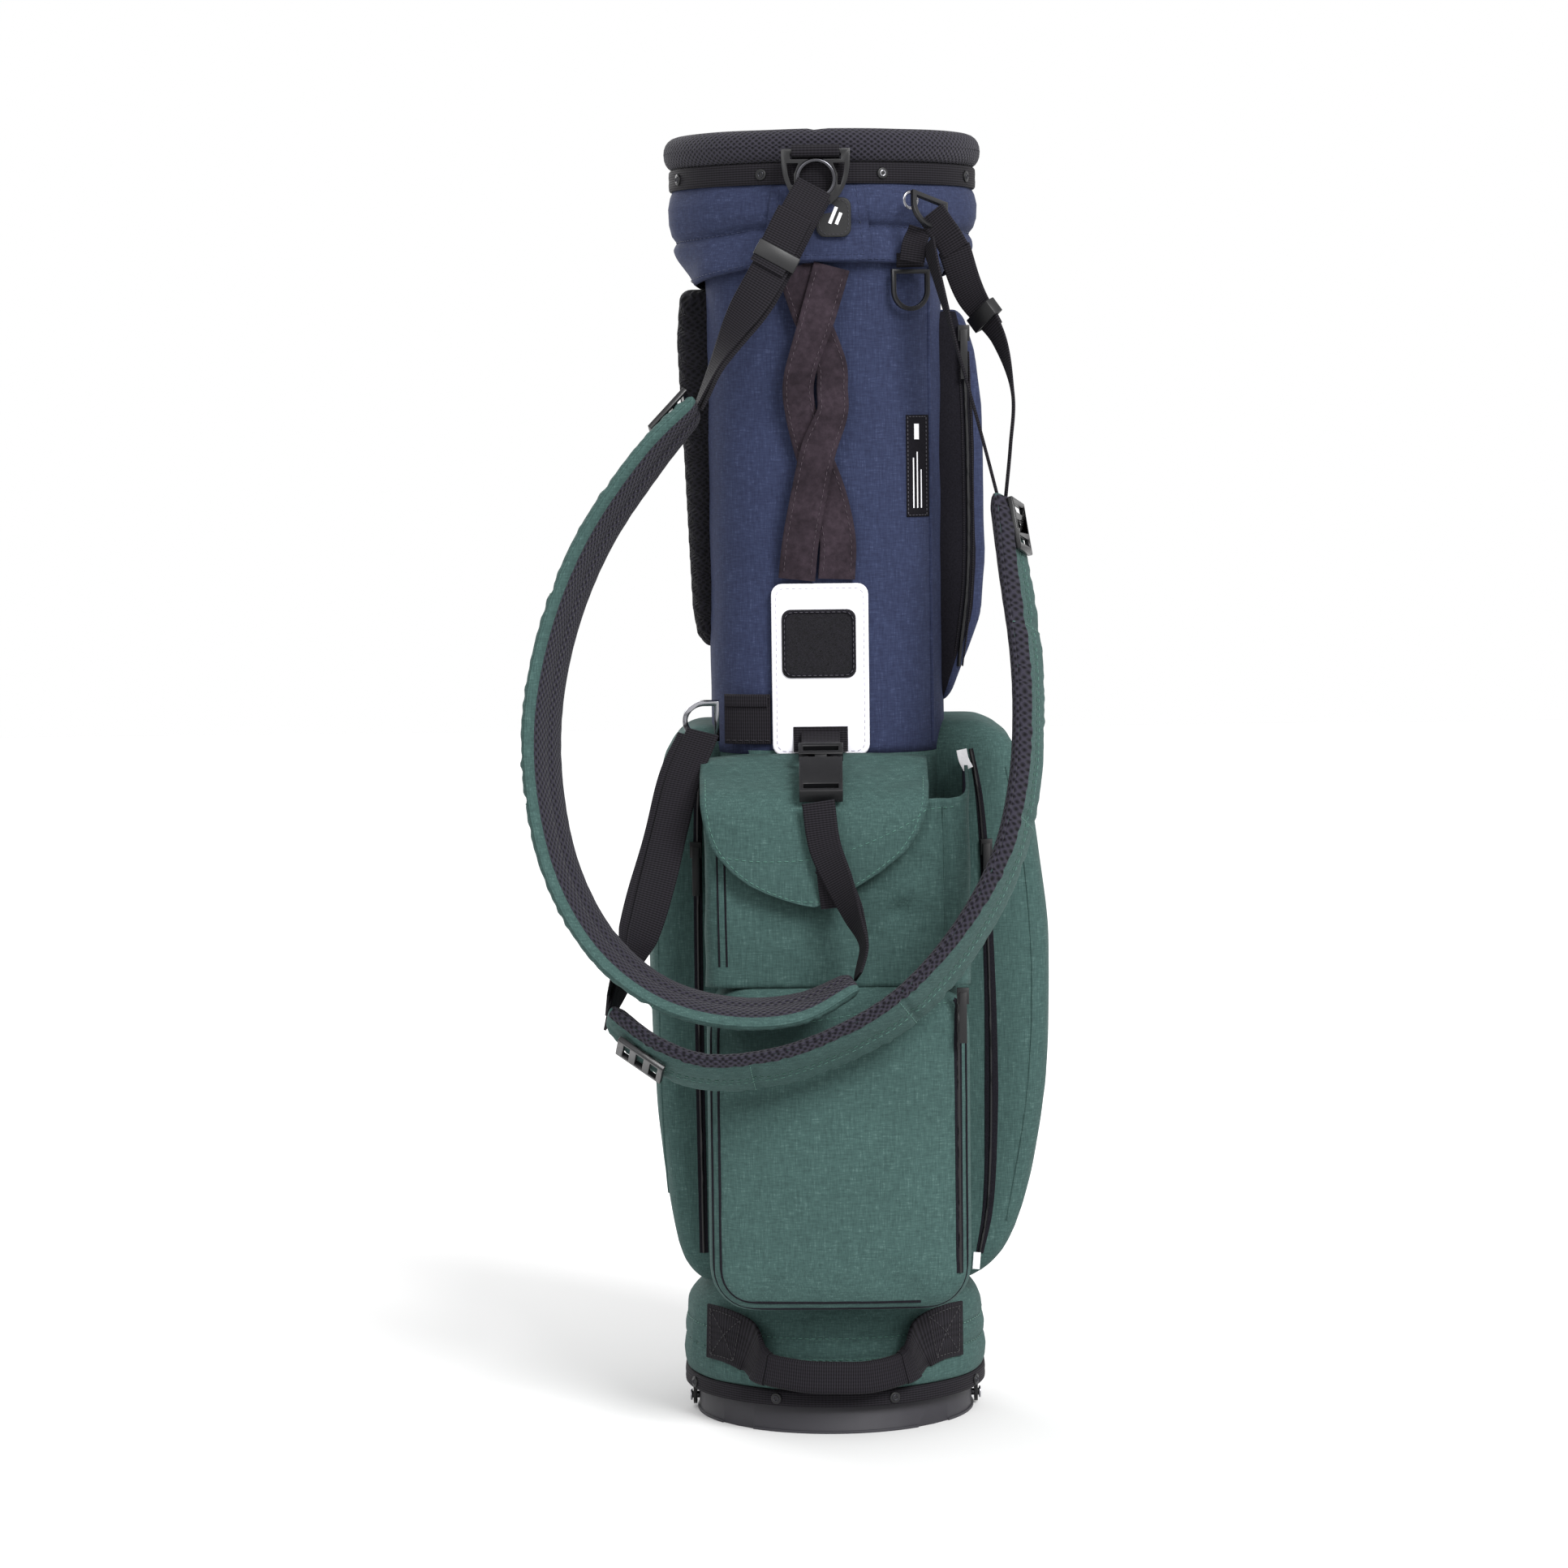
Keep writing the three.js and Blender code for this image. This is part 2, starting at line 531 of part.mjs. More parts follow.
// The lift handle is two strands that cross twice.
const STRAND_P = [
  [6, -101, 797], [-4, -110, 763], [-15.5, -109, 728], [-17.5, -105.5, 715], [-16, -102.5, 700],
  [-8, -100, 672], [2, -99, 644], [8, -98, 613], [7, -95.5, 587],
];
const STRAND_Q = [
  [-19, -97.6, 797], [-8, -103, 763], [5, -103, 731], [5.5, -105.5, 715], [5.5, -109, 700],
  [-4, -108, 675], [-11, -106, 644], [-17, -101, 613], [-20, -95.5, 587],
];
const STRAND_WIDTH = [[0, 25], [0.12, 24], [0.22, 20], [0.5, 20], [0.62, 24], [1, 25]];
add('handle_strand_right', strip(STRAND_P, [X_AXIS, X_AXIS], STRAND_WIDTH, 2.4, 24), BROWN);
add('handle_strand_left', strip(STRAND_Q, [X_AXIS, X_AXIS], STRAND_WIDTH, 2.4, 24), BROWN);

const GRIP = [
  [-88, -62, 66], [-74, -78, 65], [-60, -91, 60], [-50, -104, 49], [-25, -117, 45], [0, -121, 44],
  [25, -117, 44], [50, -104, 49], [60, -91, 61], [74, -78, 66], [88, -62, 66],
];
const GRIP_WIDTH = [[0, 38], [0.2, 38], [0.3, 22], [0.7, 22], [0.8, 38], [1, 38]];
add('base_handle', strip(GRIP, [Z_AXIS, Z_AXIS], GRIP_WIDTH, 2.4), BLACK_WEBBING);

// ---------- shoulder strap ----------
// Each pad hangs as an arc. Its width lies nearly front to back and is tipped by an angle about its length.
const LOOP_MIDDLE = new THREE.Vector3(-25, 0, 500);
function padAcross(points, degrees) {
  const route = new THREE.CatmullRomCurve3(points.map((p) => new THREE.Vector3(...p)), false, 'centripetal');
  return points.map((p, i) => {
    const tangent = route.getTangent(i / (points.length - 1));
    const outward = new THREE.Vector3(...p).sub(LOOP_MIDDLE).setY(0).projectOnPlane(tangent).normalize();
    const tip = THREE.MathUtils.degToRad(degrees[i]);
    return new THREE.Vector3(0, -Math.cos(tip), 0).addScaledVector(outward, Math.sin(tip)).toArray();
  });
}
function shoulderPad(points, degrees) {
  const { width, thickness, endWidth } = PAD;
  const bar = reshape(new THREE.CylinderGeometry(1, 1, 1, 12, 30).translate(0, 0.5, 0), (p) => {
    const end = Math.min(1, Math.min(p.y, 1 - p.y) / 0.12);
    const w = THREE.MathUtils.lerp(endWidth, width, Math.sin((end * Math.PI) / 2));
    const angle = Math.atan2(p.z, p.x);
    const r = Math.hypot(p.x, p.z);
    p.x = Math.sign(Math.cos(angle)) * Math.abs(Math.cos(angle)) ** 0.6 * (w / 2) * r;
    p.z = Math.sign(Math.sin(angle)) * Math.abs(Math.sin(angle)) ** 0.6 * (thickness / 2) * r;
  });
  return along(bar, points, padAcross(points, degrees));
}
const PAD_LEFT = [
  [-86, -128, 704], [-118, -140, 668], [-153, -152, 617], [-176, -165, 563], [-188, -178, 505],
  [-187, -190, 450], [-174, -200, 395], [-148, -206, 350], [-111, -209, 320], [-66, -210, 307],
  [-21, -209, 309], [16, -205, 325],
];
const PAD_LEFT_TIP = [18, 18, 18, 18, 18, 17, 15, 12, 9, 8, 8, 8];
const PAD_RIGHT = [
  [118, -128, 641], [125, -140, 595], [132, -155, 541], [133, -168, 499], [130, -180, 457], [120, -192, 412],
  [101, -202, 372], [72, -208, 332], [44, -211, 306], [6, -212, 285], [-36, -212, 271], [-84, -211, 268],
  [-118, -207, 281], [-146, -200, 305],
];
const PAD_RIGHT_TIP = [-14, -15, -16, -16, -17, -19, -22, -25, -27, -27, -27, -26, -24, -20];
add('strap_pad_left', shoulderPad(PAD_LEFT, PAD_LEFT_TIP), GREEN);
add('strap_pad_right', shoulderPad(PAD_RIGHT, PAD_RIGHT_TIP), GREEN);

const LEFT_TOP = [
  [-5, -121.5, 850], [-17, -131, 829], [-30, -135, 804], [-44, -137, 780], [-59, -135, 757],
  [-72, -132, 733], [-81, -129, 714],
];
const LEFT_TOP_ACROSS = [
  [0.9, 0, -0.35], [0.85, 0, -0.5], [0.85, 0, -0.5], [0.8, -0.2, -0.5], [0.6, -0.6, -0.4],
  [0.3, -0.9, -0.3], [0.1, -1, -0.1],
];
add('webbing_left_top', strip(LEFT_TOP, LEFT_TOP_ACROSS, WEBBING.width, WEBBING.thickness), BLACK_WEBBING);

const RIGHT_IN = [
  [71, -112, 812], [76, -118, 791], [86, -122, 753], [98, -125, 709], [108, -127, 671],
  [115, -127, 650],
];
const RIGHT_OUT = [
  [88, -113, 808], [98, -120, 778], [117, -126, 747], [126, -130, 709], [124, -131, 676],
  [121, -130, 652],
];
const EDGE_ON = [[0.35, -0.9, 0], [0.2, -1, 0], [0, -1, 0], [0, -1, 0], [0, -1, 0]];
const RIGHT_OUT_ACROSS = [
  [1, -0.2, 0.2], [0.9, -0.5, 0.2], [0.4, -0.9, 0], [0, -1, 0], [0, -1, 0], [0, -1, 0],
];
add('webbing_right_inner', strip(RIGHT_IN, EDGE_ON, 21, 1.5), BLACK_WEBBING);
add('webbing_right_outer', strip(RIGHT_OUT, RIGHT_OUT_ACROSS, 21, 1.5), BLACK_WEBBING);

const D_RING_DOWN = [
  [-85, -93, 484], [-98, -107, 454], [-106, -121, 424], [-115, -138, 388], [-126, -151, 351],
  [-137, -159, 326], [-150, -172, 305],
];
const D_RING_ACROSS = [
  [0.95, -0.1, 0.3], [0.95, 0, 0.3], [0.95, 0, 0.3], [0.9, 0.2, 0.3], [0.75, 0.5, 0.3],
  [0.4, 0.8, 0.2], [0.1, 1, 0],
];
add('webbing_right_bottom', strip(D_RING_DOWN, D_RING_ACROSS, 23, WEBBING.thickness), BLACK_WEBBING);

const BUCKLE_DOWN = [
  [-7, -170, 442], [-3, -173, 413], [6, -179, 390], [15, -187, 368], [22, -195, 349],
  [24, -202, 336.5],
];
const BUCKLE_ACROSS = [
  [1, 0, 0.1], [0.95, -0.2, 0.2], [0.8, -0.5, 0.3], [0.5, -0.8, 0.2], [0.2, -1, 0], [0.1, -1, 0],
];
add('webbing_left_bottom', strip(BUCKLE_DOWN, BUCKLE_ACROSS, 21, WEBBING.thickness), BLACK_WEBBING);

const ANCHOR_WEB = [[-39, -90.8, 492], [-52, -88.5, 492], [-62, -85, 492], [-70, -80, 492]];
add('d_ring_webbing', strip(ANCHOR_WEB, [Z_AXIS, Z_AXIS], 34, WEBBING.thickness), BLACK_WEBBING);

// ---------- buckle, rings, keepers ----------
// A flat frame: an outline with holes, thickened by its depth and centred on its plane.
function flatFrame(outline, holes, depth) {
  const shape = outline;
  shape.holes.push(...holes);
  const plate = new THREE.ExtrudeGeometry(shape, { depth, bevelEnabled: false, curveSegments: 10 });
  return plate.translate(0, 0, -depth / 2);
}
function slot(x0, x1, y0, y1) {
  return new THREE.Path([[x0, y0], [x1, y0], [x1, y1], [x0, y1]].map((p) => new THREE.Vector2(...p)));
}
const rectangle = (w, h) =>
  new THREE.Shape(
    [[-1, -1], [1, -1], [1, 1], [-1, 1]].map(([x, y]) => new THREE.Vector2((x * w) / 2, (y * h) / 2)),
  );

// The strap ring hangs in a loop of webbing on the collar, and the strap passes through its eye.
function strapRing() {
  const outline = new THREE.Shape();
  outline.moveTo(-23, 20);
  outline.lineTo(23, 20);
  outline.bezierCurveTo(24, 0, 18, -16, 2, -20);
  outline.lineTo(-2, -20);
  outline.bezierCurveTo(-18, -16, -24, 0, -23, 20);
  const eye = new THREE.Path().absarc(0, 0, 11.5, -Math.PI / 2, 1.5 * Math.PI, false);
  const windows = [-1, 1].map((side) => {
    const corners = [[19.5, 10.5], [11.5, 10.5], [14.6, 3], [14.4, -4], [16.6, -4], [18.6, 3]];
    const ordered = side > 0 ? corners : corners.toReversed();
    return new THREE.Path(ordered.map(([x, y]) => new THREE.Vector2(side * x, y)));
  });
  return flatFrame(outline, [slot(-17, 17, 13, 17), eye, ...windows], 3.6).rotateX(Math.PI / 2);
}
const ring = add('strap_ring', strapRing(), PLASTIC);
ring.position.set(-4, -116, 855);

const RING_LOOP = [
  [-4, -108.4, 846], [-4, -110.6, 860], [-4, -112.3, 872], [-4, -113.6, 876], [-4, -116, 877.2],
  [-4, -118.6, 876], [-4, -119.7, 873.3], [-4, -118.6, 870.8], [-4, -115.8, 869.9],
];
add('strap_ring_loop', strip(RING_LOOP, [X_AXIS, X_AXIS], 32, 1.2, 24), BLACK_WEBBING);

// Webbing sewn flat under the patch carries the side-release buckle.
const BUCKLE_WEB = [[-5, -97, 483], [-5, -108, 478], [-5, -121.5, 475.5]];
add('buckle_webbing', strip(BUCKLE_WEB, [X_AXIS, X_AXIS], 25, 1.6, 6), BLACK_WEBBING);

const buckle = new THREE.Group();
buckle.position.set(-5, -148, 459);
buckle.rotation.x = THREE.MathUtils.degToRad(-55);
bag.add(buckle);
// In the buckle's own frame X is across, Z is along the webbing, and -Y is away from the bag.
const plugBlock = join(box(-15, 15, -3.5, 3.5, 17, 29), box(-4, 4, -2.5, 2.5, 6, 18));
const plugBar = plugBlock.subtract(box(-12, 12, -5, 5, 20.5, 25.5));
add('buckle_plug', plugBar, PLASTIC, buckle);
const socketBody = box(-14.5, 14.5, -5, 5, -24, 12)
  .subtract(box(-11.6, 11.6, -3.2, 3.2, -12, 20))
  .subtract(box(-20, 20, -3.2, 3.2, -10, 4))
  .subtract(box(-11.8, 11.8, -8, 8, -21, -16));
add('buckle_socket', socketBody, PLASTIC, buckle);
for (const [name, side] of FOOT_SIDES) {
  const [a, b] = [side * 8.2, side * 11].sort((p, q) => p - q);
  const [c, d] = [side * 10.4, side * 13.8].sort((p, q) => p - q);
  const arm = join(box(a, b, -2.2, 2.2, -8, 16.4), box(c, d, -2.2, 2.2, -8, 2));
  add(`buckle_arm_${name}`, arm, PLASTIC, buckle);
}

// A D-shaped ring: a straight bar and a round bow.
function dShape(width, drop, bar) {
  const middle = width / 2 - drop;
  const trace = (path, half, top) => {
    path.moveTo(-half, top);
    path.lineTo(-half, middle);
    path.absarc(0, middle, half, Math.PI, 2 * Math.PI, false);
    path.lineTo(half, top);
    path.closePath();
    return path;
  };
  return [trace(new THREE.Shape(), width / 2, 0), trace(new THREE.Path(), width / 2 - bar, -bar)];
}
const [towelOutline, towelHole] = dShape(28, 28, 3);
const towelRing = add('towel_ring', flatFrame(towelOutline, [towelHole], 3).rotateX(Math.PI / 2), PLASTIC);
towelRing.position.set(59, -89.5, 795);
towelRing.rotation.z = THREE.MathUtils.degToRad(24);
const TOWEL_TAB_ACROSS = [0.92, 0.39, 0];
const towelTab = strip(
  [[59, -89.8, 806], [59, -88.6, 796.4]], [TOWEL_TAB_ACROSS, TOWEL_TAB_ACROSS], 20, 1.4, 1,
);
add('towel_ring_tab', towelTab, BLACK_WEBBING);

const [metalOutline, metalHole] = dShape(30, 25, 3.4);
const metalRing = add('metal_d_ring', flatFrame(metalOutline, [metalHole], 3).rotateX(Math.PI / 2), STEEL);
metalRing.position.set(-74, -83, 491);
metalRing.rotation.set(0, THREE.MathUtils.degToRad(90), THREE.MathUtils.degToRad(22));

// The right strap hangs from an eyelet in the collar by a plastic ring.
const [eyeOutline, eyeHole] = dShape(30, 24, 3.2);
const sideRing = add('collar_side_ring', flatFrame(eyeOutline, [eyeHole], 3).rotateX(Math.PI / 2), PLASTIC);
sideRing.position.set(72, -99, 843);
sideRing.rotation.set(THREE.MathUtils.degToRad(-28), 0, THREE.MathUtils.degToRad(38));

// Keepers are short sleeves that hold the webbing's layers together.
function keeper(width) {
  const sleeve = flatFrame(rectangle(width, 8), [slot(-width / 2 + 1.6, width / 2 - 1.6, -2.2, 2.2)], 11);
  return sleeve.rotateX(Math.PI / 2);
}
add('keeper_left', laid(keeper(30), LEFT_TOP, LEFT_TOP_ACROSS, 0.34), PLASTIC);
add('keeper_right', laid(keeper(26), RIGHT_OUT, RIGHT_OUT_ACROSS, 0.3), PLASTIC);

// Ladder locks sit on the pads' outer faces, where the webbing is drawn tight.
function ladderLock() {
  const openings = [slot(-12, 12, 8, 13), slot(-12, 12, -3, 3), slot(-12, 12, -14, -8)];
  return flatFrame(rectangle(31, 36), openings, 3.6);
}
const PAD_LIFT = PAD.thickness / 2 + 2.6;
const LOCKS = [
  ['ladder_lock_left', PAD_LEFT, PAD_LEFT_TIP, 0.03, -PAD_LIFT],
  ['ladder_lock_right', PAD_RIGHT, PAD_RIGHT_TIP, 0.035, PAD_LIFT],
  ['ladder_lock_bottom', PAD_RIGHT, PAD_RIGHT_TIP, 0.93, PAD_LIFT],
];
for (const [name, points, tips, t, lift] of LOCKS) {
  add(name, laid(ladderLock(), points, padAcross(points, tips), t, lift), PLASTIC);
}

// ---------- zip pulls: a slider and a hanging tab ----------
function zipPull(name, at) {
  const pull = join(box(-4, 4, -3, 0, -5, 6), box(-2.5, 2.5, -4.6, -2.6, -31, 3));
  add(name, pull, PLASTIC).position.set(...at);
}
zipPull('zip_pull_ball', [88, -162.3, 310]);
zipPull('zip_pull_upper', [96, -42.6, 752]);
zipPull('zip_pull_side_right', [108, -59.6, 400]);
zipPull('zip_pull_side_left', [-92, -59.6, 400]);

export default bag;
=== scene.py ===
import json
import math

import bpy
from mathutils import Matrix, Quaternion, Vector, noise


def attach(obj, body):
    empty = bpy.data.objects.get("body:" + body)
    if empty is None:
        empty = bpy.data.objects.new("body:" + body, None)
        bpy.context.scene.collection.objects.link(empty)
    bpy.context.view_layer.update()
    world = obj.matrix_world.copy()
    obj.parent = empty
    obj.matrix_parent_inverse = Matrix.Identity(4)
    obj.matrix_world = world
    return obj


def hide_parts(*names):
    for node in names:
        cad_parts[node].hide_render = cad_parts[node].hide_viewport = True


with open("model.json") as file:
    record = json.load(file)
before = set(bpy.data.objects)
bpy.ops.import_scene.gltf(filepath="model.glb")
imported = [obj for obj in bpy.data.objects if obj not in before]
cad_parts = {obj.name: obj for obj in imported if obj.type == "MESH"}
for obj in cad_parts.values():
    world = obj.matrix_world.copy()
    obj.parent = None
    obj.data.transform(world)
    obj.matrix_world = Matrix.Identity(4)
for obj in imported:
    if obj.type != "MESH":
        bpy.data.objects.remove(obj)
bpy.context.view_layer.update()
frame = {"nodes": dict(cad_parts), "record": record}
bpy.ops.object.select_all(action="DESELECT")

# ---------------------------------------------------------------------------
# Camera: level with the upper third of the bag, about three metres in front,
# long lens, turned a little down.
camera = bpy.data.objects.new("camera", bpy.data.cameras.new("camera"))
bpy.context.scene.collection.objects.link(camera)
bpy.context.scene.camera = camera
camera.location = (0.0025, -3.223, 0.6987)
pitch, yaw, roll = math.radians(4.581), math.radians(-0.601), -0.0122
look = Vector((math.sin(yaw) * math.cos(pitch), math.cos(yaw) * math.cos(pitch), -math.sin(pitch)))
camera.rotation_mode = "QUATERNION"
camera.rotation_quaternion = look.to_track_quat("-Z", "Y") @ Quaternion((0, 0, 1), roll)
camera.data.sensor_width = 36
camera.data.lens = 106.02

# ---------------------------------------------------------------------------
# Studio: a pale floor that runs into a pale surround, one very wide soft key
# from the front right, and two weak lamps that lift the left and the edges.
MM = 0.001


def tint(code):
    """A linear colour from an sRGB hex code."""
    parts = [int(code[i:i + 2], 16) / 255 for i in (1, 3, 5)]
    return tuple(c / 12.92 if c <= 0.04045 else ((c + 0.055) / 1.055) ** 2.4 for c in parts) + (1,)


def add_node(material, kind, inputs=None, **settings):
    """Adds a shader node with its settings, and sets or links its inputs."""
    made = material.node_tree.nodes.new("ShaderNode" + kind)
    for name, value in settings.items():
        setattr(made, name, value)
    for socket, value in (inputs or {}).items():
        if isinstance(value, bpy.types.NodeSocket):
            material.node_tree.links.new(value, made.inputs[socket])
        else:
            made.inputs[socket].default_value = value
    return made


def finish_material(name, inputs):
    """An empty material whose surface is one Principled shader with these inputs."""
    made = bpy.data.materials.new(name)
    made.use_nodes = True
    made.node_tree.nodes.clear()
    shader = add_node(made, "BsdfPrincipled", inputs)
    add_node(made, "OutputMaterial", {"Surface": shader.outputs[0]})
    return made, shader


# Seamless paper: matte, almost white, with no grain to see at this distance.
paper, _ = finish_material(
    "seamless_paper", {"Base Color": tint("#d9d9d9"), "Roughness": 1, "Specular IOR Level": 0.0},
)
bpy.ops.mesh.primitive_plane_add(size=14, location=(0, 0, 0))
floor = bpy.context.object
floor.name = "floor"
floor.data.materials.append(paper)
floor.select_set(False)

world = bpy.data.worlds.new("surround")
bpy.context.scene.world = world
world.use_nodes = True
world.node_tree.nodes["Background"].inputs["Color"].default_value = (1, 1, 1, 1)
world.node_tree.nodes["Background"].inputs["Strength"].default_value = 1.0

for name, place, size, power in (
    ("lamp_front", (-0.9, -3.0, 1.9), 1.2, 16),
    ("lamp_back", (-1.2, 2.0, 1.6), 1.4, 30),
):
    data = bpy.data.lights.new(name, "AREA")
    data.size, data.energy = size, power
    lamp = bpy.data.objects.new(name, data)
    lamp.location = place
    lamp.rotation_mode = "QUATERNION"
    lamp.rotation_quaternion = (Vector((0, 0, 0.45)) - Vector(place)).to_track_quat("-Z", "Y")
    bpy.context.scene.collection.objects.link(lamp)

key = bpy.data.objects.new("key", bpy.data.lights.new("key", "SUN"))
key.data.energy = 3.7
key.data.angle = math.radians(22)
key.rotation_mode = "QUATERNION"
key.rotation_quaternion = Vector((-1.1, 1.9, -1.5)).to_track_quat("-Z", "Y")
bpy.context.scene.collection.objects.link(key)

bpy.context.scene.view_settings.view_transform = "Standard"

# ---------------------------------------------------------------------------
# Upper tube: navy heathered polyester over foam, sewn into an oval tube. It is
# stitched to the collar above and to the green tube below.
# Half its width and depth in mm, and how square its middle is (2 is an ellipse).
BODY_X, BODY_Y, SQUARE = 81, 92, 3.2


def smooth(a, b, v):
    """A soft step from 0 to 1, between a and b."""
    v = min(1, max(0, (v - a) / (b - a)))
    return v * v * (3 - 2 * v)


def oval(angle, radius, z):
    """A point round the tube, in mm: round at both ends, a soft rectangle between."""
    squared = smooth(80, 105, z) * (1 - smooth(790, 815, z))
    across = abs(math.cos(angle)) * BODY_Y / BODY_X
    soft = (across ** SQUARE + abs(math.sin(angle)) ** SQUARE) ** (-1 / SQUARE)
    k = 1 + (soft - 1) * squared
    return Vector((math.cos(angle) * radius * k, math.sin(angle) * radius * k, z))


def ripple(point, size, seed=0.0):
    """Smooth random height from -1 to 1, for a place in mm and a wave of that size."""
    return noise.noise(Vector((point[0] / size + seed, point[1] / size, point[2] / size)))


def make_skin(name, rows, around=False, capped=False, smooth_angle=None):
    """Rows of points in mm, joined by quads, with UVs in metres: U along a row, V down the rows."""
    count = len(rows[0])
    verts = [p * MM for row in rows for p in row]
    us = [0.0]
    middle = rows[len(rows) // 2]
    for i in range(count):
        us.append(us[-1] + (middle[(i + 1) % count] - middle[i]).length * MM)
    vs = [0.0]
    for a, b in zip(rows, rows[1:]):
        vs.append(vs[-1] + (b[0] - a[0]).length * MM)
    faces, places = [], []
    for r in range(len(rows) - 1):
        for i in range(count if around else count - 1):
            j = (i + 1) % count
            faces.append((r * count + i, r * count + j, (r + 1) * count + j, (r + 1) * count + i))
            places.append(((us[i], vs[r]), (us[i + 1], vs[r]), (us[i + 1], vs[r + 1]), (us[i], vs[r + 1])))
    if capped:
        for r, turn in ((0, -1), (len(rows) - 1, 1)):
            hub = sum(rows[r], Vector()) / count * MM
            verts.append(hub)
            for i in range(count):
                j = (i + 1) % count
                corner = (r * count + i, r * count + j)[::turn]
                faces.append((len(verts) - 1, *corner))
                places.append(((us[i], vs[r]), (us[i], vs[r]), (us[i + 1], vs[r])))
    mesh = bpy.data.meshes.new(name)
    mesh.from_pydata(verts, [], faces)
    layer = mesh.uv_layers.new(name="weave")
    for polygon, corners in zip(mesh.polygons, places):
        for loop, uv in zip(polygon.loop_indices, corners):
            layer.data[loop].uv = uv
    piece = bpy.data.objects.new(name, mesh)
    bpy.context.scene.collection.objects.link(piece)
    bpy.context.view_layer.objects.active = piece
    piece.select_set(True)
    bpy.ops.object.mode_set(mode="EDIT")
    bpy.ops.mesh.select_all(action="SELECT")
    bpy.ops.mesh.normals_make_consistent(inside=False)
    bpy.ops.object.mode_set(mode="OBJECT")
    if smooth_angle:
        bpy.ops.object.shade_smooth_by_angle(angle=math.radians(smooth_angle))
    else:
        bpy.ops.object.shade_smooth()
    piece.select_set(False)
    return piece


def settle(piece, body, material, slot, *nodes):
    """Gives a finished piece its material and its body, and hides the CAD nodes it stands for. slot is not
    used.
    """
    if material:
        piece.data.materials.clear()
        piece.data.materials.append(material)
    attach(piece, body)
    if nodes:
        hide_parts(*nodes)


def apply_modifier(piece, kind, **settings):
    """Adds a modifier with its settings and applies it."""
    bpy.context.view_layer.objects.active = piece
    made = piece.modifiers.new(kind.lower(), kind)
    for name, value in settings.items():
        setattr(made, name, value)
    bpy.ops.object.modifier_apply(modifier=made.name)


def heathered(name, dark, light, fleck):
    """Solution-dyed polyester: dull threads of several close tones, so it reads as fine crossed flecks.

    The real threads are 0.4 mm apart. They are drawn 0.9 mm apart, the finest that still shows."""
    made, shader = finish_material(
        name, {"Roughness": 0.88, "Sheen Weight": 0.15, "Sheen Roughness": 0.5, "Specular IOR Level": 0.2},
    )
    shader.inputs["Sheen Tint"].default_value = tint(light)
    place = add_node(made, "TexCoord").outputs["Object"]
    threads = []
    for scale in ((170, 170, 1100), (1100, 1100, 120)):
        turned = add_node(made, "Mapping", {"Vector": place, "Scale": scale})
        threads.append(
            add_node(
                made, "TexNoise", {"Vector": turned.outputs[0], "Scale": 1, "Detail": 2, "Roughness": 0.6},
            ).outputs[0]
        )
    crossed = add_node(made, "Math", {0: threads[0], 1: threads[1]}, operation="ADD").outputs[0]
    half = add_node(made, "Math", {0: crossed, 1: 0.5}, operation="MULTIPLY").outputs[0]
    ramp = add_node(made, "ValToRGB", {0: half})
    ramp.color_ramp.elements[0].position, ramp.color_ramp.elements[0].color = 0.36, tint(dark)
    ramp.color_ramp.elements[1].position, ramp.color_ramp.elements[1].color = 0.66, tint(light)
    middle = ramp.color_ramp.elements.new(0.58)
    middle.color = tint(fleck)
    patches = add_node(made, "TexNoise", {"Vector": place, "Scale": 14, "Detail": 2}).outputs[0]
    level = add_node(made, "MapRange", {0: patches, 3: 0.9, 4: 1.1}).outputs[0]
    shade = add_node(made, "HueSaturation", {"Color": ramp.outputs[0], "Value": level}).outputs[0]
    made.node_tree.links.new(shade, shader.inputs["Base Color"])
    slack = add_node(
        made, "TexNoise", {"Vector": place, "Scale": 38, "Detail": 3, "Roughness": 0.45},
    ).outputs[0]
    loose = add_node(made, "Bump", {"Height": slack, "Strength": 0.35, "Distance": 0.003}).outputs[0]
    weave = add_node(
        made, "Bump", {"Height": crossed, "Strength": 0.35, "Distance": 0.0004, "Normal": loose},
    ).outputs[0]
    made.node_tree.links.new(weave, shader.inputs["Normal"])
    return made


navy_cloth = heathered("heathered_polyester_navy", "#20253c", "#373e58", "#2a314a")
green_cloth = heathered("heathered_polyester_green", "#2b3f3d", "#465c59", "#374e4b")

angles = [2 * math.pi * i / 128 for i in range(128)]


def tube_rows(heights, radius_at, wave=0.0, seed=0.0):
    """Rows round the tube at these heights, with slow waves in the cloth."""
    rows = []
    for z in heights:
        row = []
        for angle in angles:
            p = oval(angle, radius_at(z), z)
            out = Vector((p.x, p.y, 0)).normalized()
            row.append(p + out * wave * ripple(p, 46, seed))
        rows.append(row)
    return rows


UPPER_LOW, UPPER_HIGH = 468, 835


def upper_radius(z):
    """The tube widens under the collar, to meet the round top frame."""
    return 92 + 6.5 * smooth(790, 815, z)


upper_tube = make_skin(
    "upper_tube",
    tube_rows([UPPER_LOW + (UPPER_HIGH - UPPER_LOW) * i / 60 for i in range(61)], upper_radius, 1.1, 3.0),
    around=True,
)
apply_modifier(upper_tube, "SOLIDIFY", thickness=2.4 * MM, offset=-1)
settle(upper_tube, "bag", navy_cloth, "navy_cloth", "upper_shell")

# ---------------------------------------------------------------------------
# Lower tube: the same cloth in green, sewn to the navy tube and ending in the
# padded cuff round the base. It is slanted behind, where the bag leans back.
LEAN = math.radians(24)


def slant(y, rise=0.0):
    """The height in mm of the base's lower edge: level in front, rising behind."""
    return 20 + rise / math.cos(LEAN) * (y > 5) + rise * (y <= 5) + max(0, y - 5) * math.tan(LEAN)


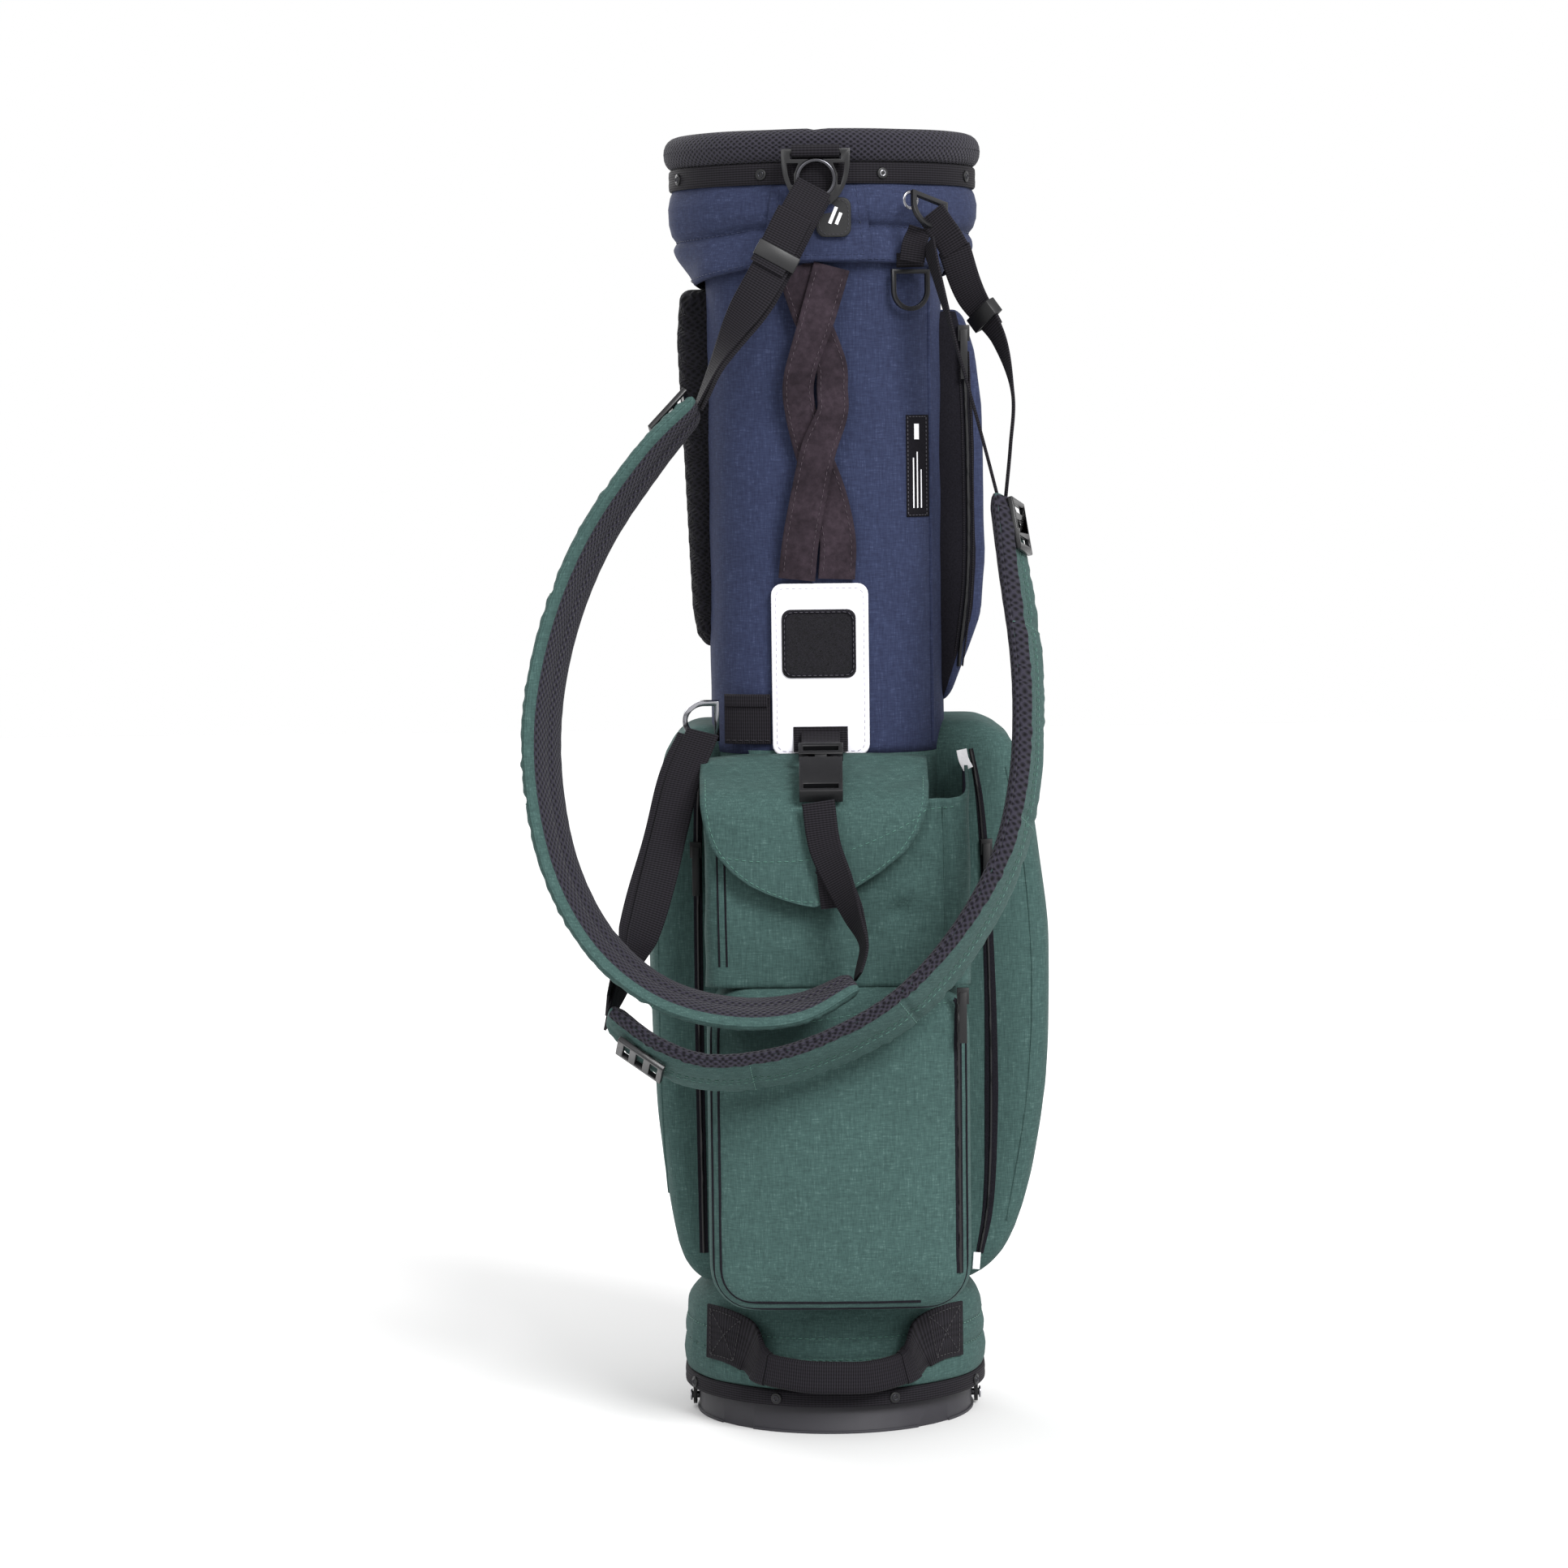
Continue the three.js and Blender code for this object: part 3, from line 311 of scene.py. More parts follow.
LOWER_LOW, LOWER_HIGH = 78, 470.5
lower_rows = []
for i in range(57):
    z = LOWER_LOW + (LOWER_HIGH - LOWER_LOW) * i / 56
    row = []
    for angle in angles:
        p = oval(angle, 92 + 9 * (1 - smooth(LOWER_LOW, 104, z)), z)
        row.append(p + Vector((p.x, p.y, 0)).normalized() * 1.2 * ripple(p, 50, 9.0))
    lower_rows.append(row)
lower_tube = make_skin("lower_tube", lower_rows, around=True)
apply_modifier(lower_tube, "SOLIDIFY", thickness=2.4 * MM, offset=-1)
settle(lower_tube, "bag", green_cloth, "green_cloth", "lower_shell")

# The base cuff: foam-filled cloth with two rows of quilting, puckered along them.
CUFF_PROFILE = [
    (0, 101.5), (0.02, 104.2), (0.08, 105.4), (0.2, 105.8), (0.3, 104.6), (0.335, 103.4), (0.37, 104.4),
    (0.45, 104.9), (0.52, 104), (0.555, 102.9), (0.59, 103.7), (0.7, 103.3), (0.82, 100.4), (0.93, 96.4),
    (1, 92.4),
]


def along_profile(profile, t):
    """A profile's radius at a share of its height, straight between its points."""
    for (t0, r0), (t1, r1) in zip(profile, profile[1:]):
        if t <= t1:
            return r0 + (r1 - r0) * (t - t0) / (t1 - t0)
    return profile[-1][1]


def cuff_rows(profile, low, high, seams, steps=44):
    """Rows for a padded cuff between two edges, puckered along its quilting seams."""
    rows = []
    for i in range(steps + 1):
        t = i / steps
        row = []
        for angle in angles:
            base = oval(angle, along_profile(profile, t), 60)
            z = low(base.y, base.x) + (high(base.y, base.x) - low(base.y, base.x)) * t
            p = oval(angle, along_profile(profile, t), z)
            near = max(math.exp(-((t - s) / 0.07) ** 2) for s in seams)
            gather = 1.5 * near * math.sin(angle * 61 + 5 * ripple(p, 30, 1.0)) * ripple(p, 25, 2.0)
            row.append(p + Vector((p.x, p.y, 0)).normalized() * (gather + 1.3 * ripple(p, 34, 4.0)))
        rows.append(row)
    return rows


CUFF_TOP, CUFF_QUILTING = 97, (0.335, 0.555)


def cuff_low(y, x):
    """The cuff's lower edge follows the base's slant, above its binding."""
    return slant(y, 10.5)


def cuff_high(y, x):
    """The cuff's upper edge is level all round."""
    return CUFF_TOP


base_cuff = make_skin(
    "base_cuff",
    cuff_rows(CUFF_PROFILE, cuff_low, cuff_high, CUFF_QUILTING),
    around=True,
)
apply_modifier(base_cuff, "SOLIDIFY", thickness=2 * MM, offset=-1)
settle(base_cuff, "bag", green_cloth, "green_cloth", "lower_shell")


# Stitches: bonded thread, each stitch a short raised dash between two needle holes.
def thread(name, code):
    """Bonded polyester thread: dull, with a faint sheen."""
    made, _ = finish_material(
        name, {"Base Color": tint(code), "Roughness": 0.7, "Sheen Weight": 0.1, "Specular IOR Level": 0.3},
    )
    return made


teal_thread = thread("polyester_thread_teal", "#44695f")
navy_thread = thread("polyester_thread_navy", "#222b48")
black_thread = thread("polyester_thread_black", "#1d1b1f")
white_thread = thread("polyester_thread_white", "#a7a3b2")
green_thread = thread("polyester_thread_green", "#2c5046")


def stitch_row(name, path, out, material, slot, length=3.0, pitch=4.6, thick=0.36, lift=0.12):
    """Dashes of thread along a path in mm. out gives the way off the cloth at a point."""
    verts, faces = [], []
    lengths = [0.0]
    for a, b in zip(path, path[1:]):
        lengths.append(lengths[-1] + (b - a).length)
    count = int(lengths[-1] / pitch)
    leg = 0
    for k in range(count):
        middle = (k + 0.5) * lengths[-1] / count
        while leg < len(path) - 2 and lengths[leg + 1] < middle:
            leg += 1
        a, b = path[leg], path[leg + 1]
        t = (middle - lengths[leg]) / max(1e-6, lengths[leg + 1] - lengths[leg])
        centre = a.lerp(b, t)
        ahead = (b - a).normalized()
        up = out(centre).normalized()
        side = ahead.cross(up).normalized()
        up = side.cross(ahead)
        centre = centre + up * lift
        first = len(verts)
        for s, w in ((-0.5, 0.25), (-0.32, 1), (0.32, 1), (0.5, 0.25)):
            for a4 in range(4):
                turn = math.pi * (a4 / 2 + 0.25)
                round_it = side * math.cos(turn) + up * math.sin(turn)
                verts.append((centre + ahead * s * length + round_it * thick * w) * MM)
        for ring in range(3):
            for a4 in range(4):
                b4 = (a4 + 1) % 4
                at = first + ring * 4
                faces.append((at + a4, at + b4, at + 4 + b4, at + 4 + a4))
        faces.append((first + 3, first + 2, first + 1, first))
        faces.append((first + 12, first + 13, first + 14, first + 15))
    mesh = bpy.data.meshes.new(name)
    mesh.from_pydata(verts, [], faces)
    row = bpy.data.objects.new(name, mesh)
    bpy.context.scene.collection.objects.link(row)
    bpy.context.view_layer.objects.active = row
    row.select_set(True)
    bpy.ops.object.mode_set(mode="EDIT")
    bpy.ops.mesh.select_all(action="SELECT")
    bpy.ops.mesh.normals_make_consistent(inside=False)
    bpy.ops.object.mode_set(mode="OBJECT")
    bpy.ops.object.shade_smooth()
    row.select_set(False)
    settle(row, "bag", material, slot)


def outward(p):
    """The way out of the tube at a point."""
    return Vector((p.x, p.y, 0))


def cuff_seam(profile, low, high, t):
    """The closed path of a quilting seam, at a share of the cuff's height."""
    path = []
    for angle in angles + [angles[0]]:
        base = oval(angle, along_profile(profile, t), 60)
        z = low(base.y, base.x) + (high(base.y, base.x) - low(base.y, base.x)) * t
        path.append(oval(angle, along_profile(profile, t) + 0.6, z))
    return path


for name, t in zip(("cuff_stitches_low", "cuff_stitches_high"), CUFF_QUILTING):
    path = cuff_seam(CUFF_PROFILE, cuff_low, cuff_high, t)
    stitch_row(name, path, outward, teal_thread if t > 0.5 else green_thread, "green_cloth")

# ---------------------------------------------------------------------------
# Collar: a foam-filled navy cuff with one row of quilting, over the top frame.
# A stiffer panel is sewn on in front, under the strap ring.
COLLAR_PROFILE = [
    (0, 99.6), (0.015, 101.6), (0.06, 102.9), (0.16, 104), (0.28, 104.2), (0.38, 103.6), (0.44, 101.2),
    (0.455, 100.6),
    (0.47, 101.4), (0.53, 104.8), (0.64, 106.9), (0.8, 107.1), (0.92, 105.4), (1, 103),
]
COLLAR_TOP, COLLAR_QUILTING = 853.5, 0.455


def collar_low(y, x):
    """The collar's lower edge dips at both sides and behind."""
    return 799.5 - 12 * smooth(20, 100, -x) - 4 * smooth(30, 100, x) - 6 * smooth(20, 100, y)


def collar_high(y, x):
    """The collar's upper edge is level, under the binding."""
    return COLLAR_TOP


collar_rows = cuff_rows(COLLAR_PROFILE, collar_low, collar_high, (COLLAR_QUILTING,))
# Behind, it is pressed flat beside the rod guide, so that the rod has room to slide.
for row in collar_rows:
    for p in row:
        if p.y > 0:
            p.y = min(p.y, 103.4 + 6 * smooth(17, 36, abs(p.x)))
collar = make_skin("collar", collar_rows, around=True)
apply_modifier(collar, "SOLIDIFY", thickness=1.5 * MM, offset=-1)
settle(collar, "bag", navy_cloth, "navy_cloth", "collar_cuff")
for name, t in (("collar_stitches", COLLAR_QUILTING), ("collar_hem_stitches", 0.05)):
    stitch_row(
        name, cuff_seam(COLLAR_PROFILE, collar_low, collar_high, t), outward, navy_thread, "navy_cloth",
    )

PANEL_LOW, PANEL_HEIGHT = 801, 50
panel_rows = []
for i in range(25):
    z = PANEL_LOW + PANEL_HEIGHT * i / 24
    row = []
    for k in range(25):
        side = -1 + 2 * k / 24
        x = side * (37.5 - 6.5 * (z - PANEL_LOW) / PANEL_HEIGHT) - 3
        t = (z - 799.5) / 54
        r = along_profile(
            COLLAR_PROFILE, max(0.03, t),
        ) + 1.4 + 1.4 * smooth(0.3, 0.55, t) * (1 - smooth(0.6, 0.9, t))
        r = max(r, 104.8) + 0.35 * ripple((x, 0, z), 18, 2.2)
        row.append(Vector((x, -math.sqrt(r * r - x * x), z)))
    panel_rows.append(row)
collar_panel = make_skin("collar_panel", panel_rows)
apply_modifier(collar_panel, "SOLIDIFY", thickness=1.6 * MM, offset=-1)
settle(collar_panel, "bag", navy_cloth, "navy_cloth")
edge = [
    panel_rows[i][2]
    for i in range(24, 1, -1)
] + panel_rows[2][2:23] + [panel_rows[i][22] for i in range(2, 25)]
stitch_row("collar_panel_stitches", edge, outward, navy_thread, "navy_cloth")

# ---------------------------------------------------------------------------
# Rim: a thick roll of foam covered in black spacer mesh, joined at one seam in
# front. It keeps the clubs from knocking on the frame.


def spacer_mesh(name, dark, light, hole):
    """3D-knitted spacer mesh: a springy face of small six-sided holes, each hole a deep soft dimple painted
    dark as painted shade.

    The holes are about 3 mm apart, their real size."""
    made, shader = finish_material(
        name, {"Roughness": 0.92, "Sheen Weight": 0.05, "Specular IOR Level": 0.15},
    )
    uv = add_node(made, "UVMap", uv_map="weave").outputs[0]
    turned = add_node(
        made, "Mapping",
        {"Vector": uv, "Rotation": (0, 0, math.radians(45)), "Scale": (1 / hole, 1 / hole, 1)},
    ).outputs[0]
    cells = add_node(
        made, "TexVoronoi", {"Vector": turned, "Scale": 1, "Randomness": 0.06}, voronoi_dimensions="2D",
    ).outputs["Distance"]
    depth = add_node(made, "MapRange", {0: cells, 1: 0.12, 2: 0.5, 3: 0, 4: 1}).outputs[0]
    # Painted shade: each hole is given the dark colour, and the face between the holes the light one.
    colour = add_node(made, "Mix", {0: depth, 6: tint(dark), 7: tint(light)}, data_type="RGBA").outputs[2]
    made.node_tree.links.new(colour, shader.inputs["Base Color"])
    relief = add_node(made, "Bump", {"Height": depth, "Strength": 0.8, "Distance": 0.0012}).outputs[0]
    made.node_tree.links.new(relief, shader.inputs["Normal"])
    return made


black_mesh = spacer_mesh("spacer_mesh_black", "#060608", "#2f2d36", 0.0027)
ROLL_RADIUS, ROLL_WIDE, ROLL_HEIGHT, ROLL_THICK = 97.8, 11.6, 877.8, 11.8
roll = []
for i in range(25):
    around = 2 * math.pi * i / 24
    row = []
    for angle in angles:
        seam = math.exp(-((angle - 1.5 * math.pi + 0.03) / 0.025) ** 2)
        r = 1 - 0.14 * seam + 0.03 * ripple((math.cos(angle) * 100, math.sin(angle) * 100, i * 3), 40, 6.0)
        x = ROLL_RADIUS + ROLL_WIDE * r * math.copysign(abs(math.cos(around)) ** 0.85, math.cos(around))
        z = ROLL_HEIGHT + ROLL_THICK * r * math.copysign(abs(math.sin(around)) ** 0.9, math.sin(around))
        row.append(Vector((math.cos(angle) * x, math.sin(angle) * x, z)))
    roll.append(row)
rim_roll = make_skin("rim_roll", roll, around=True)
apply_modifier(rim_roll, "WELD", merge_threshold=0.00001)
settle(rim_roll, "bag", black_mesh, "black_mesh", "rim_pad")

# ---------------------------------------------------------------------------
# Trims: black webbing bound round the mouth and round the base, each held to
# the plastic inside by eight hollow rivets.


def webbing(name, dark, light, pitch):
    """Polypropylene webbing: a tight ribbed weave, each rib's crest painted lighter as a painted highlight
    and each groove painted darker as painted shade.

    The ribs are drawn at 1.6 mm, a little coarser than the real ones, so that they show."""
    made, shader = finish_material(
        name, {"Roughness": 0.75, "Sheen Weight": 0.02, "Specular IOR Level": 0.08},
    )
    uv = add_node(made, "UVMap", uv_map="weave").outputs[0]
    parts = add_node(made, "SeparateXYZ", {0: uv})
    wave = []
    for part, size in ((parts.outputs[1], pitch), (parts.outputs[0], pitch * 1.5)):
        turns = add_node(made, "Math", {0: part, 1: 2 * math.pi / size}, operation="MULTIPLY").outputs[0]
        wave.append(add_node(made, "Math", {0: turns}, operation="SINE").outputs[0])
    cross = add_node(made, "Math", {0: wave[1], 1: 0.3}, operation="MULTIPLY").outputs[0]
    crossed = add_node(made, "Math", {0: wave[0], 1: cross}, operation="ADD").outputs[0]
    height = add_node(made, "MapRange", {0: crossed, 1: -1.3, 2: 1.3, 3: 0, 4: 1}).outputs[0]
    # Painted highlight and painted shade: the rib crests are given the light colour and the grooves the
    # dark one.
    colour = add_node(made, "Mix", {0: height, 6: tint(dark), 7: tint(light)}, data_type="RGBA").outputs[2]
    made.node_tree.links.new(colour, shader.inputs["Base Color"])
    relief = add_node(made, "Bump", {"Height": height, "Strength": 0.6, "Distance": 0.0004}).outputs[0]
    made.node_tree.links.new(relief, shader.inputs["Normal"])
    return made


black_webbing = webbing("polypropylene_webbing_black", "#09080a", "#242227", 0.0016)


def band_rows(low, high, outer, inner):
    """Rows for a webbing band folded over an edge, its two ribs standing a little proud."""
    rows = []
    crest, edge = outer + 0.2, outer - 0.8
    for t, r in (
        (0, inner), (0, edge), (0.08, outer), (0.3, crest), (0.5, outer), (0.7, crest), (0.92, outer),
        (1, edge), (1, inner),
    ):
        row = []
        for angle in angles:
            p = Vector((math.cos(angle) * r, math.sin(angle) * r, 0))
            row.append(p + Vector((0, 0, low(p.y) + (high(p.y) - low(p.y)) * t)))
        rows.append(row)
    return rows


top_binding = make_skin(
    "top_binding", band_rows(lambda y: 852.4, lambda y: 866.6, 106, 99), around=True, smooth_angle=50,
)
settle(top_binding, "bag", black_webbing, "black_webbing", "top_trim")
base_binding = make_skin(
    "base_binding", band_rows(slant, lambda y: slant(y, 10.8), 105.6, 101.4), around=True, smooth_angle=50,
)
settle(base_binding, "bag", black_webbing, "black_webbing", "bottom_trim")


def moulded(name, code, rough, grain=0.00025):
    """Injection-moulded nylon or polypropylene: satin, with the fine spark texture of its mould."""
    made, shader = finish_material(
        name, {"Base Color": tint(code), "Roughness": rough, "Specular IOR Level": 0.35},
    )
    place = add_node(made, "TexCoord").outputs["Object"]
    spark = add_node(made, "TexNoise", {"Vector": place, "Scale": 1500, "Detail": 2}).outputs[0]
    relief = add_node(made, "Bump", {"Height": spark, "Strength": 0.12, "Distance": grain}).outputs[0]
    made.node_tree.links.new(relief, shader.inputs["Normal"])
    wear = add_node(made, "TexNoise", {"Vector": place, "Scale": 60, "Detail": 3}).outputs[0]
    gloss = add_node(made, "MapRange", {0: wear, 3: rough - 0.06, 4: rough + 0.08}).outputs[0]
    made.node_tree.links.new(gloss, shader.inputs["Roughness"])
    return made


black_nylon = moulded("moulded_nylon_black", "#121214", 0.42)
base_polypropylene = moulded("moulded_polypropylene_grey", "#29282d", 0.55)
# Cast zinc, tumbled and nickel plated: a bright mirror, dulled where hands touch it.
zinc, zinc_shader = finish_material(
    "die_cast_zinc_polished", {"Base Color": tint("#97979c"), "Metallic": 1, "Roughness": 0.2},
)
# Rolled steel with a black oxide: dark, with a narrow grey highlight.
blackened_steel, _ = finish_material(
    "blackened_steel", {"Base Color": tint("#3a3a3e"), "Metallic": 1, "Roughness": 0.36},
)


def rivet(name, angle, radius, z, eye_finish):
    """A domed plastic washer with a hollow steel rivet through it."""
    bpy.ops.mesh.primitive_cylinder_add(
        vertices=28, radius=3.9 * MM, depth=1.9 * MM, location=(0, 0, 0.95 * MM),
    )
    washer = bpy.context.object
    washer.name = name
    bpy.ops.object.mode_set(mode="EDIT")
    bpy.ops.mesh.select_all(action="SELECT")
    bpy.ops.mesh.bevel(offset=0.7 * MM, segments=3, affect="EDGES")
    bpy.ops.object.mode_set(mode="OBJECT")
    bpy.ops.object.shade_smooth_by_angle(angle=math.radians(35))
    bpy.ops.object.select_all(action="DESELECT")
    bpy.ops.mesh.primitive_torus_add(
        location=(0, 0, 1.9 * MM), major_radius=1.75 * MM, minor_radius=0.55 * MM, major_segments=24,
        minor_segments=8
    )
    eye = bpy.context.object
    eye.name = name + "_eye"
    bpy.ops.object.shade_smooth()
    place = Vector((math.cos(angle) * radius, math.sin(angle) * radius, z)) * MM
    turned = Vector((math.cos(angle), math.sin(angle), 0)).to_track_quat("Z", "Y")
    facing = Matrix.Translation(place) @ turned.to_matrix().to_4x4()
    for piece in (washer, eye):
        piece.data.transform(facing @ piece.matrix_basis)
        piece.matrix_basis = Matrix()
        piece.select_set(False)
    settle(washer, "bag", black_nylon, "black_plastic")
    settle(eye, "bag", eye_finish, "steel")


RIVETS, BRIGHT_RIVET = 8, 6
for i in range(RIVETS):
    angle = (i + 0.5) / RIVETS * 2 * math.pi
    rivet(f"top_rivet_{i + 1}", angle, 105.6, 859.2, zinc if i == BRIGHT_RIVET else blackened_steel)
    rivet(f"base_rivet_{i + 1}", angle, 105.2, slant(math.sin(angle) * 105, 5.4), blackened_steel)

# ---------------------------------------------------------------------------
# Hip pad: spacer mesh over foam, quilted in chevrons, that rests against the
# golfer's back on the left of the tube. It is sewn down round its edge.


def round_cornered(u0, u1, v0, v1, radius, inset, side=24, corner=9):
    """Points in order round a rounded rectangle, drawn in by an inset."""
    u0, u1, v0, v1 = u0 + inset, u1 - inset, v0 + inset, v1 - inset
    radius = min(max(radius - inset, 6), (u1 - u0) / 2 - 0.2, (v1 - v0) / 2 - 0.2)
    hubs = (
        (u1 - radius, v0 + radius, -90), (u1 - radius, v1 - radius, 0), (u0 + radius, v1 - radius, 90),
        (u0 + radius, v0 + radius, 180),
    )
    points = []
    for k, (u, v, start) in enumerate(hubs):
        for i in range(corner):
            turn = math.radians(start + 90 * i / (corner - 1))
            points.append(Vector((u + radius * math.cos(turn), v + radius * math.sin(turn))))
        turn = math.radians(start + 90)
        ends = [
            Vector((h[0] + radius * math.cos(turn), h[1] + radius * math.sin(turn)))
            for h in (hubs[k], hubs[(k + 1) % 4])
        ]
        points += [ends[0].lerp(ends[1], i / side) for i in range(1, side)]
    return points


def pocket_rows(sizes, radius, depth, edge, crown, place, steps=9, side=24):
    """Rows for a padded panel: up its side walls, over a rounded edge, and in over a crowned face.

    place turns (across, up, depth, share of the way in over the face) into a point in mm."""
    u0, u1, v0, v1 = sizes
    reach = min(u1 - u0, v1 - v0) / 2 - 3
    stages = [(0, depth * k / 6 * (1 - edge / depth)) for k in range(7)]
    stages += [
        (edge * (1 - math.cos(a)), depth - edge + edge * math.sin(a))
        for a in (math.pi / 2 * k / 6 for k in range(1, 7))
    ]
    stages += [(edge + (reach - edge) * k / steps, depth) for k in range(1, steps + 1)]
    rows = []
    for inset, out in stages:
        share = max(0, inset - edge) / (reach - edge)
        swell = crown * math.sin(math.pi / 2 * min(1, inset / reach)) ** 0.8
        rows.append(
            [place(p.x, p.y, out + swell, share) for p in round_cornered(*sizes, radius, inset, side)]
        )
    return rows


def table_value(table, z):
    """The value at a place in a table of (place, value) pairs, straight between them and flat beyond."""
    for (z0, r0), (z1, r1) in zip(table, table[1:]):
        if z <= z1:
            return r0 + (r1 - r0) * max(0, z - z0) / (z1 - z0)
    return table[-1][1]


HIP_PAD, HIP_DEPTH = (-34, 66, 539, 785), 40
HIP_REACH = [(539, 84), (548, 88), (565, 91), (609, 93), (668, 95.5), (716, 98), (750, 99.5), (785, 97)]


def hip_place(y, z, out, share):
    """Places the hip pad's face, with its chevron ribs and its gathered rim."""
    x = 60 + out / HIP_DEPTH * (table_value(HIP_REACH, z) - 60)
    rib = math.sin(math.pi * (z + 0.75 * abs(y - 16)) / 11)
    ridge = 3.2 * (1 - 1.6 * (1 - abs(rib)) ** 2) * smooth(0.5, 0.75, out / HIP_DEPTH)
    return Vector(
        (-(x + ridge - 1.4), y + 1.2 * math.cos(math.pi * z / 7.75) * smooth(20, 0, 20 * share), z)
    )


hip_pad = make_skin(
    "hip_pad_cover", pocket_rows(HIP_PAD, 14, HIP_DEPTH, 8, 0, hip_place, 30, 90), around=True, capped=True,
)
settle(
    hip_pad, "bag", spacer_mesh("spacer_mesh_hip_pad", "#030304", "#15141a", 0.0032), "black_mesh",
    "hip_pad",
)

# ---------------------------------------------------------------------------
# Side pockets: long apparel pockets of green cloth over thin foam, rounded
# outwards, each closed by a zip down its front edge.


def laid_on(piece, path, way, lift=0.0):
    """Carries a path in mm onto a piece along a direction. Gives each point with its way out."""
    places = []
    for p in path:
        hit, place, normal, _ = piece.ray_cast((p - way * 400) * MM, way)
        if hit:
            normal = normal if normal.dot(way) < 0 else -normal
            places.append((place / MM + normal * lift, normal))
    return places


def smoothed(places, times=2):
    """Evens out places laid on a surface, their ends kept."""
    for _ in range(times):
        for i in range(1, len(places) - 1):
            p = (places[i - 1][0] + places[i][0] * 2 + places[i + 1][0]) / 4
            n = (places[i - 1][1] + places[i][1] * 2 + places[i + 1][1]).normalized()
            places[i] = (p, n)
    return places


def stitches_on(name, places, material, slot, **sizes):
    """A stitch row along places already laid on a surface."""
    ways = [n for _, n in places]
    spots = [p for p, _ in places]

    def out(centre):
        near = min(range(len(spots)), key=lambda i: (spots[i] - centre).length_squared)
        return ways[near]

    stitch_row(name, spots, out, material, slot, **sizes)


def strip_on(name, places, section, material, slot):
    """A strip of cord, tape or binding along places on a surface. section is (across, out) pairs."""
    rows = []
    for i, (p, out) in enumerate(places):
        ahead = places[min(i + 1, len(places) - 1)][0] - places[max(i - 1, 0)][0]
        side = ahead.cross(out).normalized()
        up = side.cross(ahead).normalized()
        share = i / (len(places) - 1)
        pairs = section(share) if callable(section) else section
        rows.append([p + side * x + up * z for x, z in pairs])
    strip = make_skin(name, rows, around=True, capped=True, smooth_angle=60)
    settle(strip, "bag", material, slot)


def cord_section(radius, sides=8):
    """A round cord's section, in (across, out) pairs."""
    return [
        (radius * math.cos(2 * math.pi * k / sides), radius * math.sin(2 * math.pi * k / sides))
        for k in range(sides)
    ]


def tape_section(width, thickness):
    """A flat tape's section, its edges thinned and its back sunk into the surface."""
    h, e = width / 2, thickness
    return [(-h, -0.6), (-h, e * 0.6), (-h + 0.5, e), (0, e), (h - 0.5, e), (h, e * 0.6), (h, -0.6)]


SETTLING_FRAMES = 20


def puff(piece, still, pressure, most, voxel=4.5):
    """Swells a padded piece with air, so that its cloth pulls between its seams as real padding does.

    still gives how firmly a point in mm is sewn, from 0 to 1. No point moves more than most mm."""
    apply_modifier(piece, "REMESH", mode="VOXEL", voxel_size=voxel * MM)
    start = [v.co.copy() for v in piece.data.vertices]
    sewn = piece.vertex_groups.new(name="sewn")
    for v in piece.data.vertices:
        firm = still(v.co / MM)
        if firm > 0:
            sewn.add([v.index], min(1, firm), "REPLACE")
    bpy.context.view_layer.objects.active = piece
    cloth = piece.modifiers.new("cloth", "CLOTH")
    cloth.settings.vertex_group_mass = "sewn"
    cloth.settings.use_pressure = True
    cloth.settings.uniform_pressure_force = pressure
    cloth.settings.effector_weights.gravity = 0
    cloth.settings.quality = 5
    cloth.collision_settings.use_collision = False
    cloth.point_cache.frame_start, cloth.point_cache.frame_end = 1, SETTLING_FRAMES
    for moment in range(1, SETTLING_FRAMES + 1):
        bpy.context.scene.frame_set(moment)
    bpy.ops.object.modifier_apply(modifier="cloth")
    bpy.context.scene.frame_set(1)
    for v, was in zip(piece.data.vertices, start):
        move = v.co - was
        if move.length > most * MM:
            v.co = was + move.normalized() * most * MM
    piece.vertex_groups.clear()
    apply_modifier(piece, "SMOOTH", factor=0.5, iterations=2)
    apply_modifier(piece, "SUBSURF", levels=1, render_levels=1)
    for face in piece.data.polygons:
        face.use_smooth = True


LEFT_REACH = [
    (96, 97), (108, 103), (123, 109), (168, 115), (230, 121), (330, 124), (440, 119), (470, 113),
    (485, 103),
]
RIGHT_REACH = [
    (96, 100), (106, 110), (121, 122), (145, 133), (236, 149), (297, 151), (348, 150), (440, 138),
    (475, 128), (487, 116),
]


def side_pocket(side, name, table, top):
    """A side pocket. side is -1 on the left and 1 on the right, and table gives its reach by height."""
    def place(y, z, out, share):
        reach = table_value(table, z)
        wave = (
            1.6 * ripple((y, z, 7 * side), 44, 5) + 0.7 * ripple((y, z * 0.6, 3 * side), 17, 2)
        ) * smooth(0.3, 0.7, out / 60)
        x = 62 + out / 60 * (reach - 62) + wave - 0.8
        return Vector((side * x, y + 1.2 * ripple((x, y, z), 30, 9), z))

    rows = pocket_rows((-59, 74, 96, top), 24, 60, 17, 0, place, 16)
    piece = make_skin(name + "_cloth", rows, around=True, capped=True)

    def sewn(p):
        return max(
            smooth(94, 84, abs(p.x)), smooth(-50, -57, p.y) * 0.9, smooth(7, 3, abs(p.z - 97)),
            smooth(7, 3, abs(p.z - top)),
        )

    puff(piece, sewn, 2.5, 6)
    settle(piece, "bag", green_cloth, "green_cloth", name)
    return piece


left_pocket = side_pocket(-1, "side_pocket_left", LEFT_REACH, 485)
right_pocket = side_pocket(1, "side_pocket_right", RIGHT_REACH, 487)


